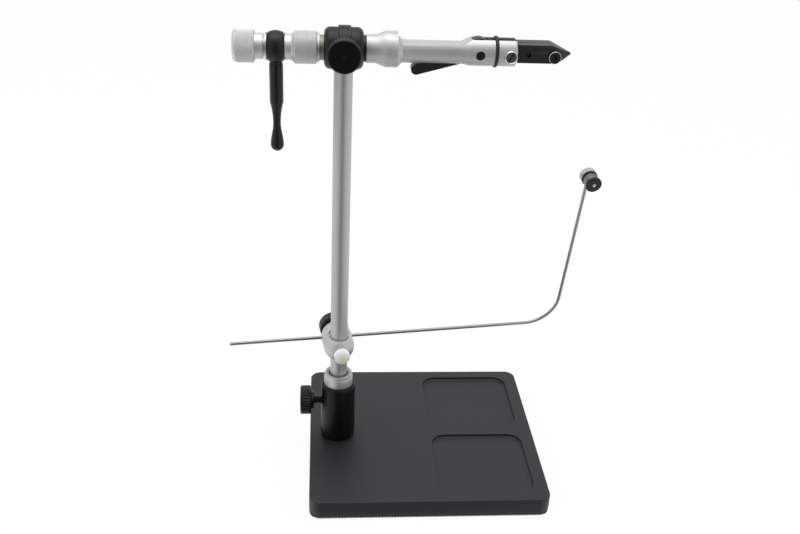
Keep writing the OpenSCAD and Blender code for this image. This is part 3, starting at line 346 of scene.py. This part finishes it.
def softened(corners, r=0.15 * mm, steps=4, loop=False):
    """A profile with rounded corners: each corner becomes a curve from the point r before it to
    the point r after it, drawn towards it by the square rule (1-s)^2, 2s(1-s), s^2. Where a
    side is short, the curve takes at most 0.45 of it. Open ends stay as they are."""
    p = np.asarray(corners, float)
    before, after = np.roll(p, 1, 0) - p, np.roll(p, -1, 0) - p
    lengths = [np.linalg.norm(v, axis=1, keepdims=True) for v in (before, after)]
    near, far = (p + v / n * np.minimum(r, 0.45 * n)
                 for v, n in zip((before, after), lengths))
    s = np.linspace(0, 1, steps)[None, :, None]
    curve = (1 - s) ** 2 * near[:, None] + 2 * s * (1 - s) * p[:, None] + s ** 2 * far[:, None]
    if loop:
        return curve.reshape(-1, 2)
    return np.concatenate([p[:1], curve[1:-1].reshape(-1, 2), p[-1:]])


stem_line = line_of("stem_turn")
low, high, r = reach("stem_socket", stem_line)
high += socket_lift
socket_side = softened([(0, low), (r - socket_foot_bevel / 2, low), (r, low + socket_foot_bevel),
                        (socket_r, high), (socket_bore_r, high),
                        (socket_bore_r, high - socket_bore_l),
                        (0, high - socket_bore_l)], socket_round, socket_round_steps)
piece = spun("socket", socket_side, stem_line, matt_coat)
seat(piece, "base", "stem_socket")

# The socket's thumb screw. A black steel stud with a cut thread, moulded into its knob, and
# the brass pad that it presses on the stem.
thread_pitch, thread_depth, thread_run = 0.8 * mm, 0.45 * mm, 0.5 * mm
thread_cols, thread_rows_a_turn = 40, 10


def filled(profile, step, low, high):
    """A profile with more points: between low and high along the line, none is further than
    step from the next. New points lie on the straight sides."""
    p = np.asarray(profile, float)
    run = np.concatenate([[0], np.cumsum(np.linalg.norm(np.diff(p, axis=0), axis=1))])
    more = np.arange(0, run[-1], step)
    t = np.interp(more, run, p[:, 1])
    every = np.unique(np.concatenate([run, more[(t > low) & (t < high)]]).round(9))
    return np.stack([np.interp(every, run, p[:, 0]), np.interp(every, run, p[:, 1])], -1)


def threaded(line, low, high, r):
    """The greatest radius of a thread cut on a line: a V that turns once round for each pitch
    along it, and runs out at both ends."""
    def left(t, a):
        turn = np.mod(t / thread_pitch - a / (2 * math.pi), 1)
        depth = thread_depth * np.clip(np.minimum(t - low, high - t) / thread_run, 0, 1)
        return r - depth * np.abs(2 * turn - 1)
    return left


oxide = finish("black_oxide", (0.013, 0.013, 0.0135), 0.36, cloud=0.2, grain=4200,
               grain_depth=0.01 * mm, specular=0.55)
screw_line = line_of("socket_screw_turn")
low, high, r = reach("socket_thumb_screw", screw_line)
stud = softened([(0, low), (r, low), (r, high), (0, high)])
stud = filled(stud, thread_pitch / thread_rows_a_turn, low, high)
screw = spun("socket_stud", stud, screw_line, oxide, cols=thread_cols,
             relief=threaded(screw_line, low, high, r))
seat(screw, "socket_screw", "socket_thumb_screw")
brass = finish("pad_brass", (0.6, 0.45, 0.2), 0.35, metallic=1.0)
dress(brass, "socket_screw_pad")
# The three thumb knobs. Moulded black plastic with thirty shallow flutes round the rim that
# stop short of a smooth chamfer, and a flat face with a small dot where the mould was filled.
knob_flutes, knob_flute_depth, knob_flute_stop = 30, 0.32 * mm, 0.9 * mm
knob_r, knob_chamfer, knob_dot_r, knob_dot_depth = 8.3 * mm, 0.6 * mm, 0.45 * mm, 0.25 * mm
knob_hub_r, knob_hub_t, knob_cols_a_flute = 5.15 * mm, 1.5 * mm, 14
knob_flute_power, knob_flute_fade, knob_hub_step = 1.5, 0.4 * mm, 0.02 * mm
knob_dot_taper, knob_round, knob_step = 0.8, 0.2 * mm, 0.3 * mm
knob_plastic = finish("moulded_black", (0.0035, 0.0035, 0.004), 0.3, grain=3000,
                      grain_depth=0.01 * mm, specular=0.35)


def fluted(face, r):
    """The greatest radius of a fluted rim: hollows that follow a raised cosine wave round the
    rim, narrowed by a power of it, and fade out before the face."""
    def left(t, a):
        wave = (0.5 + 0.5 * np.cos(knob_flutes * a)) ** knob_flute_power
        fade = np.clip((face - knob_flute_stop - t) / knob_flute_fade, 0, 1)
        return r - knob_flute_depth * wave * fade + 0 * t
    return left


def thumb_knob(name, node, joint, body, hub_t):
    """One knob on its screw's line, with a hub of the given thickness on its inner side."""
    line = line_of(joint)
    low, face, r = reach(node, line)
    r = min(r, knob_r)
    back = low + hub_t
    corners = [(0, back)]
    if hub_t:
        corners = [(0, low), (knob_hub_r, low), (knob_hub_r, back + knob_hub_step)]
    corners += [(r - knob_chamfer, back), (r, back + knob_chamfer), (r, face - knob_chamfer),
                (r - knob_chamfer, face), (knob_dot_r, face),
                (knob_dot_r * knob_dot_taper, face - knob_dot_depth), (0, face - knob_dot_depth)]
    rim = filled(softened(corners, knob_round), knob_step, back, face)
    knob = spun(name, rim, line, knob_plastic, cols=knob_flutes * knob_cols_a_flute,
                relief=fluted(face, r))
    seat(knob, body, node)


thumb_knob("socket_knob", "socket_thumb_knob", "socket_screw_turn", "socket_screw", knob_hub_t)
thumb_knob("brake_knob", "drag_knob", "drag_screw_turn", "drag_screw", 0)
thumb_knob("rod_knob", "clamp_rod_knob", "rod_screw_turn", "clamp_rod_screw", 0)
dress(oxide, "drag_screw", "clamp_rod_screw")

# The height collar. Turned aluminium, blasted and clear anodised, with a thin groove under
# its top ring. A small grub screw at the back holds it on the stem.
satin = finish("satin_silver", (0.65, 0.65, 0.655), 0.56, metallic=1.0, cloud=0.05, grain=7000,
               grain_depth=0.03 * mm)
collar_r, collar_top_r, collar_bore = 8.15 * mm, 7.7 * mm, 4.85 * mm
collar_side, collar_groove, collar_lip_w, collar_lip_h = 4.85 * mm, 0.4 * mm, 0.9 * mm, 2.4 * mm
collar_trim, collar_ring_share, collar_round = 0.1 * mm, 0.55, 0.2 * mm
low, high = reach("height_collar", stem_line)[:2]
low, high = low + socket_lift, high - collar_trim
rim = high - (high - low - collar_side) * collar_ring_share
ring = [(collar_bore, low), (collar_r, low), (collar_r, low + collar_side),
        (collar_r - collar_groove, low + collar_side), (collar_r - collar_groove, rim),
        (collar_top_r, rim), (collar_top_r, high), (collar_bore + collar_lip_w, high),
        (collar_bore, high - collar_lip_h)]
piece = spun("stem_collar", softened(ring, collar_round, loop=True), stem_line, satin, loop=True)
seat(piece, "collar", "height_collar")
dress(oxide, "height_collar_screw")

# The stem. A ground bar of 3/8 inch steel, plated and left satin, with fine lines round it.
ground = finish("ground_steel", (0.56, 0.56, 0.565), 0.5, metallic=1.0, cloud=0.06,
                grain=5200, grain_depth=0.012 * mm, bands=("Z", 0.35 * mm))
dress(ground, "stem")

# The head's housing. Turned aluminium with a raised band, anodised black with a soft sheen,
# pressed on the stem. A spot face under the brake knob shows as a grey edge.
anodised = finish("black_anodised", (0.0090, 0.0080, 0.0095), 0.4, cloud=0.14, grain=5200,
                  grain_depth=0.02 * mm, specular=0.35)
eased("housing", "head_housing", "stem", anodised, edge=0.18 * mm)

# The two bushes of the spindle. The rear one is sintered bronze with a grooved flange, the
# front one black plastic. The brake screw's pad presses between them.
bronze = finish("sintered_bronze", (0.36, 0.34, 0.30), 0.5, metallic=1.0, grain=3600,
                grain_depth=0.03 * mm)
eased("back_bush", "rear_bush", "stem", bronze, edge=0.08 * mm)
plastic = finish("black_moulding", (0.005, 0.005, 0.0055), 0.36, grain=2500,
                 grain_depth=0.01 * mm)
dress(plastic, "front_bush")
nylon_white = (0.96, 0.97, 0.92)
pad_nylon = finish("pad_nylon", nylon_white, 0.4, cloud=0.05)
dress(pad_nylon, "drag_pad")

# The spindle, and the knurled collar that is fixed on it by a grub screw. The collar is
# aluminium with a rolled diamond knurl between plain bevelled edges, and a neck.
bright = finish("bright_steel", (0.64, 0.635, 0.62), 0.4, metallic=1.0, cloud=0.06,
                grain=3000, grain_depth=0.004 * mm)
dress(bright, "spindle")
knurl_silver = finish("knurled_silver", (0.70, 0.71, 0.715), 0.5, metallic=1.0, cloud=0.04,
                      grain=7000, grain_depth=0.02 * mm)
head_line = line_of("head_turn")
knurl_count, knurl_depth, knurl_flat, knurl_samples = 48, 0.30 * mm, 0.25, 8
knurl_bevel, spindle_hole_r = 0.7 * mm, 4.01 * mm


def knurled(r, low, high, count=knurl_count, depth=knurl_depth):
    """The greatest radius of a diamond knurl between two places on the line: two sets of V
    cuts, wound the opposite ways, with a small flat left on each diamond."""
    pitch = 2 * math.pi * r / count

    def left(t, a):
        cuts = [np.abs(2 * np.mod(count * a / (2 * math.pi) + way * t / pitch, 1) - 1)
                for way in (1, -1)]
        cut = np.clip((np.maximum(*cuts) - knurl_flat) / (1 - knurl_flat), 0, 1)
        inside = (t > low) & (t < high)
        return np.where(inside, r - depth * cut, r)
    return left


far, near, r = reach("knurled_collar", head_line)
ring_w, ring_r, neck_r, step_w, neck_w = 1 * mm, 7 * mm, 6.2 * mm, 1.1 * mm, 3.2 * mm
front, rear = near - ring_w, far + neck_w + step_w
collar = softened([(spindle_hole_r, near), (ring_r, near), (ring_r, front),
                   (r - knurl_bevel, front), (r, front - knurl_bevel), (r, rear + knurl_bevel),
                   (r - knurl_bevel, rear), ((r + neck_r) / 2, rear), (neck_r, rear - step_w),
                   (neck_r, far), (spindle_hole_r, far)], loop=True)
knurl_step = 2 * math.pi * r / knurl_count / knurl_samples
collar = np.concatenate([filled(collar, knurl_step, rear, front), collar[:1]])[:-1]
piece = spun("grip_collar", collar, head_line, knurl_silver, loop=True,
             cols=knurl_count * knurl_samples,
             relief=knurled(r, rear + knurl_bevel / 4, front - knurl_bevel / 4))
seat(piece, "spindle", "knurled_collar")
dress(oxide, "knurled_collar_screw")

# The crank. A turned black hub on the spindle, and a turned handle screwed into it: a
# straight grip, a hollow drawn in to a waist, and a ball at the end.
eased("hub", "crank_hub", "crank", anodised, edge=0.15 * mm)
handle_r, waist_r, ball_r = 3.4 * mm, 1.925 * mm, 3.325 * mm
grip_share, waist_share, hollow_power, handle_rows, ball_rows = 0.435, 0.68, 2.2, 60, 16
handle_length, handle_seat, handle_shoulder = 45.6 * mm, 1.5 * mm, 0.35 * mm
satin_black = finish("satin_black", (0.006, 0.0055, 0.0065), 0.36, cloud=0.15, grain=3600,
                     grain_depth=0.015 * mm, specular=0.4)
box_low, box_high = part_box("crank_handle")
handle_line = (np.array([(box_low[0] + box_high[0]) / 2, 0, 0]), np.array([0, 0, -1.0]),
               np.array([1.0, 0, 0]), np.array([0, -1.0, 0]))
handle_end = -box_low[2]
handle_top = handle_end - handle_length
ball_share = 1 - ball_r / handle_length
s = np.linspace(grip_share, ball_share, handle_rows)
hollow = waist_r + (handle_r - waist_r) * np.clip(
    (waist_share - s) / (waist_share - grip_share), 0, 1) ** hollow_power
swell = waist_r + (ball_r - waist_r) * (1 - np.cos(
    math.pi * np.clip((s - waist_share) / (ball_share - waist_share), 0, 1))) / 2
shape = np.stack([np.where(s < waist_share, hollow, swell), handle_top + s * handle_length], -1)
s = np.linspace(0, math.pi / 2, ball_rows)[1:]
ball = np.stack([ball_r * np.cos(s), handle_end - ball_r + ball_r * np.sin(s)], -1)
handle_head = softened([(0, handle_top - handle_seat),
                        (handle_r - handle_shoulder, handle_top - handle_seat),
                        (handle_r - handle_shoulder, handle_top),
                        (handle_r, handle_top + handle_shoulder * 2), tuple(shape[0])])[:-1]
handle = spun("handle", np.concatenate([handle_head, shape, ball]), handle_line, satin_black)
seat(handle, "crank", "crank_handle")

# The lock knob on the spindle's threaded end, with its washer. Aluminium again, knurled as
# the collar is, with a long bevel at its outer end and a thin nose against the washer.
dress(bright, "crank_washer")
end, near, r = reach("lock_knob", head_line)
nose_w, nose_r, lock_neck_w = 0.75 * mm, 4.7 * mm, 4.1 * mm
lock_bevel, lock_bevel_w = 1.2 * mm, 1.9 * mm
lock_bore_r, lock_bore_l = 3.05 * mm, 11 * mm
neck, grip = near - nose_w, near - nose_w - lock_neck_w
knob = softened([(0, near - lock_bore_l), (lock_bore_r, near - lock_bore_l),
                 (lock_bore_r, near), (nose_r, near),
                 (nose_r, neck), (neck_r, neck), (neck_r, grip), (r - knurl_bevel, grip),
                 (r, grip - knurl_bevel), (r, end + lock_bevel_w),
                 (r - lock_bevel / 2, end + lock_bevel_w / 3), (r - lock_bevel, end), (0, end)])
piece = spun("lock", filled(knob, knurl_step, end, grip), head_line, knurl_silver,
             cols=knurl_count * knurl_samples,
             relief=knurled(r, end + lock_bevel_w / 3, grip - knurl_bevel / 4))
seat(piece, "lock_knob", "lock_knob")

# The jaw head. One aluminium turning with a milled flat, a slope and a slotted block, blasted
# and clear anodised like the collar. The cam's pin crosses the block, and a black rubber ring
# is stretched round it.
eased("head", "jaw_head", "spindle", satin, edge=0.14 * mm)
dress(oxide, "cam_pin")
ring_rubber = finish("ring_rubber", (0.012, 0.012, 0.0125), 0.5, grain=2600,
                     grain_depth=0.02 * mm)
low, high = reach("head_o_ring", head_line)[:2]
band_r, band_middle, band_shift, band_rows = 1 * mm, 6.75 * mm, -0.6 * mm, 24
s = np.arange(band_rows) * 2 * math.pi / band_rows
band_t = (low + high) / 2 + band_shift
band = np.stack([band_middle + band_r * np.cos(s), band_t + band_r * np.sin(s)], -1)
piece = spun("rubber_ring", band, head_line, ring_rubber, loop=True)
seat(piece, "spindle", "head_o_ring")

# The slotted screw that holds the jaws. Dark steel, with the tool's lines on its face, inside a
# rounded polished rim that is set in the block.
dark_steel = finish("dark_steel", (0.085, 0.095, 0.085), 0.45, metallic=0.3, cloud=0.25,
                    grain=2600, grain_depth=0.02 * mm, bands=("X", 0.4 * mm))
eased("jaw_bolt", "jaw_screw", "spindle", dark_steel, edge=0.08 * mm)
polished = finish("polished_steel", (0.85, 0.85, 0.84), 0.24, metallic=1.0, cloud=0.03,
                  grain_depth=0.001 * mm, rough_spread=0.04)
bolt_low, bolt_high = (np.array(v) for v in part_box("jaw_screw"))
bolt_middle = (bolt_low + bolt_high) / 2
bolt_line = (np.array([bolt_middle[0], 0, bolt_middle[2]]),
             np.array([0, -1.0, 0]), np.array([1.0, 0, 0]), np.array([0, 0, -1.0]))
high = reach("jaw_screw", bolt_line)[1]
rim_in, rim_out, rim_rise, rim_depth = 2.5 * mm, 3.25 * mm, 0.4 * mm, 1.5 * mm
rim_slope, rim_round = 0.3 * mm, 0.12 * mm
rim = softened([(rim_in, high - rim_depth), (rim_out, high - rim_depth), (rim_out, high),
                (rim_out - rim_slope, high + rim_rise), (rim_in + rim_slope, high + rim_rise),
                (rim_in, high)], rim_round, loop=True)
piece = spun("jaw_bolt_rim", rim, bolt_line, polished, loop=True)
seat(piece, "spindle", "jaw_screw")

# The cam lever, the wedge that it pushes, and the two jaws. Tool steel, ground, and blacked but
# for the wedge. The jaws' upper faces show the grinding along their length.
ground_black = finish("ground_black", (0.012, 0.0117, 0.0128), 0.38, cloud=0.25, grain=3800,
                      grain_depth=0.012 * mm, specular=0.6, bands=("Y", 0.6 * mm),
                      band_depth=0.01 * mm)
eased("lever", "cam_lever", "cam_lever", oxide, edge=0.25 * mm)
eased("jaw_front", "front_jaw", "front_jaw", ground_black, edge=0.1 * mm)
eased("jaw_rear", "rear_jaw", "rear_jaw", ground_black, edge=0.1 * mm)
dress(oxide, "jaw_guide_pin")
dress(bright, "wedge_plunger")

# The jaws' adjusting screw. A blacked screw with a painted highlight round its head: the faces of its bevel get a
# lighter metal.
ring_steel = finish("worn_black", (0.034, 0.034, 0.036), 0.3, metallic=0.5, cloud=0.2,
                    grain=3000, grain_depth=0.01 * mm)
adjuster = eased("adjuster", "jaw_adjust_screw", "adjust_screw", ring_steel,
                 edge=0.1 * mm)
# The painted highlight: faces that slope to the screw's axis by a middle amount, the bevel's, get the lighter
# metal.
highlight_least, highlight_most = 0.5, 0.9
painted_bevel_highlight = finish("painted_bevel_highlight", (0.42, 0.42, 0.43), 0.4, metallic=1.0, cloud=0.2)
adjuster.data.materials.append(painted_bevel_highlight)
turned = np.empty(len(adjuster.data.polygons) * 3)
adjuster.data.polygons.foreach_get("normal", turned)
facing = np.abs(turned.reshape(-1, 3) @ line_of("adjust_screw_turn")[1])
highlight_faces = (facing > highlight_least) & (facing < highlight_most)
adjuster.data.polygons.foreach_set("material_index", highlight_faces.astype(int))

# The cradle's clamp. A turned and bored aluminium body, blasted like the head.
eased("clamp", "cradle_clamp", "cradle_clamp", satin, edge=0.2 * mm)

# The clamp's thumb screw. White nylon with a domed head. Light comes through it, and its
# thick middle shows a pale green.
nylon_line = line_of("nylon_screw_turn")
nylon_green, nylon_rim, nylon_through = (0.88, 0.96, 0.58), 4.3 * mm, 0.55
nylon_shank_r, nylon_neck, nylon_dome, nylon_round = 2 * mm, 5 * mm, 0.8 * mm, 1.0 * mm
nylon_green_in, nylon_green_out, nylon_dome_rows = 0.15, 0.8, 12
nylon_glow_way, nylon_glow_depth, nylon_soft, nylon_soft_steps = (1, 1, 0.7), 3 * mm, 0.5 * mm, 6


def nylon_skin():
    """White nylon: the tone goes from green at the screw's line to white at its rim, by the
    distance from that line, and light passes under the surface."""
    skin = finish("white_nylon", nylon_white, 0.36, cloud=0.02, grain=1800,
                  grain_depth=0.02 * mm)
    t = skin.node_tree
    tone, shader = t.nodes["tone"], t.nodes["shader"]
    start, along = nylon_line[:2]
    place = node_of(t, "ShaderNodeTexCoord")
    away = node_of(t, "ShaderNodeVectorMath", operation="SUBTRACT")
    away.inputs[1].default_value = start
    off = node_of(t, "ShaderNodeVectorMath", operation="CROSS_PRODUCT")
    off.inputs[1].default_value = along
    distance = node_of(t, "ShaderNodeVectorMath", operation="LENGTH")
    fade = node_of(t, "ShaderNodeMapRange", interpolation_type="SMOOTHSTEP")
    fade.inputs["From Min"].default_value = nylon_green_in * nylon_rim
    fade.inputs["From Max"].default_value = nylon_green_out * nylon_rim
    tint = node_of(t, "ShaderNodeMix", data_type="RGBA")
    tint.inputs[6].default_value = nylon_green + (1,)
    joined(t, (place.outputs["Object"], away.inputs[0]), (away.outputs[0], off.inputs[0]),
           (off.outputs[0], distance.inputs[0]), (distance.outputs["Value"], fade.inputs["Value"]),
           (fade.outputs[0], tint.inputs[0]), (tone.outputs[2], tint.inputs[7]),
           (tint.outputs[2], shader.inputs["Base Color"]))
    shader.inputs["Subsurface Weight"].default_value = nylon_through
    shader.inputs["Subsurface Radius"].default_value = nylon_glow_way
    shader.inputs["Subsurface Scale"].default_value = nylon_glow_depth
    return skin


low, high, r = reach("clamp_stem_screw", nylon_line)
neck = high - nylon_neck
s = np.linspace(0, 1, nylon_dome_rows)
dome = np.stack([(r - nylon_round) * (1 - s), high - nylon_dome * s[::-1] ** 2], -1)
shank = softened([(0, low), (nylon_shank_r, low), (nylon_shank_r, neck), (r, neck),
                  (r, high - nylon_dome - nylon_round), tuple(dome[0])],
                 nylon_soft, nylon_soft_steps)[:-1]
nylon_head = spun("nylon_screw", np.concatenate([shank, dome]), nylon_line, nylon_skin())
seat(nylon_head, "clamp_stem_screw", "clamp_stem_screw")

# The cradle's rod. Bright drawn steel wire, bent once.
rod_steel = finish("drawn_steel", (0.37, 0.37, 0.355), 0.3, metallic=1.0, cloud=0.1,
                   grain=2600, grain_depth=0.01 * mm)
rod_r, rod_bend_r, rod_end, bend_steps = 0.92 * mm, 18.5 * mm, 0.2 * mm, 24
rod_cols, rod_top_bevel = 24, 0.5 * mm
end_back = -2 * mm
roller_at, pin_way, *square = line_of("roller_spin")
roller_at = roller_at + pin_way * (reach("roller_hub", (roller_at, pin_way))[0] - end_back)
roller_line = (roller_at, pin_way, *square)
level_way = np.array(next(j for j in frame["joints"] if j["name"] == "rod_reach")["axis"])
leg_way = np.cross(pin_way, level_way)
rod_middle_z = line_of("cradle_turn")[0][2]
rod_corner = roller_at - leg_way * (roller_at[2] - rod_middle_z) / leg_way[2]
rod_start = reach("cradle_rod", (rod_corner, level_way))[0]
half_turn = math.acos(level_way @ leg_way) / 2
bend_run = rod_bend_r * math.tan(half_turn)
bend_middle = rod_corner - bend_run * level_way + rod_bend_r * leg_way


def bent(radii, stations, turns, side):
    """A round bar carried along a path: at each station a circle of its radius lies square to
    the way that the path goes there, which turns about the side direction."""
    a = np.arange(rod_cols)[None, :, None] * 2 * math.pi / rod_cols
    ways = np.cos(turns)[:, None] * level_way + np.sin(turns)[:, None] * leg_way
    outward = np.cross(ways, side)
    return (stations[:, None] + radii[:, None, None]
            * (np.cos(a) * side + np.sin(a) * outward[:, None]))


turns = np.linspace(0, 2 * half_turn, bend_steps)
curve = (bend_middle + rod_bend_r * (np.sin(turns)[:, None] * level_way
                                     - np.cos(turns)[:, None] * leg_way))
ends = rod_corner + np.array([rod_start, rod_start, rod_start + rod_end])[:, None] * level_way
tops = roller_at - np.array([rod_top_bevel, 0, 0])[:, None] * leg_way
stations = np.concatenate([ends, curve, tops])
turns = np.concatenate([[0, 0, 0], turns, [2 * half_turn] * 3])
radii = np.full(len(stations), rod_r)
radii[[0, -1]], radii[1] = 0, rod_r - rod_end
piece = surface("rod", bent(radii, stations, turns, pin_way), rod_steel)
seat(piece, "cradle_rod", "cradle_rod")

# The roller. A knurled hub fixed on the rod, a drum between a black ring and a black disc,
# and the pin they turn on, whose domed bright head shows in the disc.
end_r, end_front = 4.4 * mm, 1.5 * mm
gap_t, ring_t, drum_t, disc_t, drum_r = 0.05 * mm, 1.1 * mm, 5 * mm, 1.5 * mm, 3.95 * mm
hub_count, hub_depth, hub_bevel, hub_samples = 40, 0.16 * mm, 0.35 * mm, 8
hub_step = 2 * math.pi * end_r / hub_count / hub_samples
hub = softened([(0, end_back), (end_r - hub_bevel, end_back), (end_r, end_back + hub_bevel),
                (end_r, end_front - hub_bevel), (end_r - hub_bevel, end_front), (0, end_front)])
hub_skin = finish("hub_silver", (0.50, 0.51, 0.52), 0.5, metallic=1.0, cloud=0.1,
                  grain=4000, grain_depth=0.03 * mm)
piece = spun("roller_end", filled(hub, hub_step, end_back, end_front), roller_line, hub_skin,
             cols=hub_count * hub_samples,
             relief=knurled(end_r, end_back + hub_bevel / 4, end_front - hub_bevel / 4,
                            hub_count, hub_depth))
seat(piece, "cradle_rod", "roller_hub")
pin_hole_r = 0.8 * mm


def wheel(name, node, back, thick, r, skin):
    """A flat wheel of the roller: a rim of radius r and a bore for the pin. Returns where the
    next wheel begins."""
    shape = [(pin_hole_r, back), (r, back), (r, back + thick), (pin_hole_r, back + thick)]
    part = spun(name, softened(shape, loop=True), roller_line, skin, loop=True)
    seat(part, "roller", node)
    return back + thick


drum_skin = finish("drum_grey", (0.20, 0.205, 0.21), 0.42, metallic=1.0, cloud=0.15, grain=3200,
                   grain_depth=0.03 * mm)
at = wheel("ring", "roller_ring", end_front + gap_t, ring_t, end_r, plastic)
at = wheel("drum", "roller_drum", at, drum_t, drum_r, drum_skin)
disc_line_r, disc_line_depth, line_half = 3.3 * mm, 0.15 * mm, 0.12 * mm
disc_round, disc_soft = 0.35 * mm, 0.1 * mm
front = at + disc_t
disc = softened([(pin_hole_r, at), (end_r, at), (end_r, front - disc_round),
                 (end_r - disc_round, front), (disc_line_r + line_half, front),
                 (disc_line_r, front - disc_line_depth), (disc_line_r - line_half, front),
                 (pin_hole_r, front)], disc_soft, loop=True)
piece = spun("disc", disc, roller_line, plastic, loop=True)
seat(piece, "roller", "roller_front_disc")
pin_r, pin_head_r, pin_head_t, pin_grip = 0.75 * mm, 0.95 * mm, 0.6 * mm, 1 * mm
pin_rows, pin_cols = 8, 48
s = np.linspace(0, math.pi / 2, pin_rows)
pin_dome = np.stack([pin_head_r * np.cos(s), front + gap_t + pin_head_t * np.sin(s)], -1)
pin = np.concatenate([[(0, end_front - pin_grip), (pin_r, end_front - pin_grip),
                       (pin_r, front + gap_t)], pin_dome])
piece = spun("roller_pin", pin, roller_line, bright, cols=pin_cols)
seat(piece, "cradle_rod", "roller_axle")
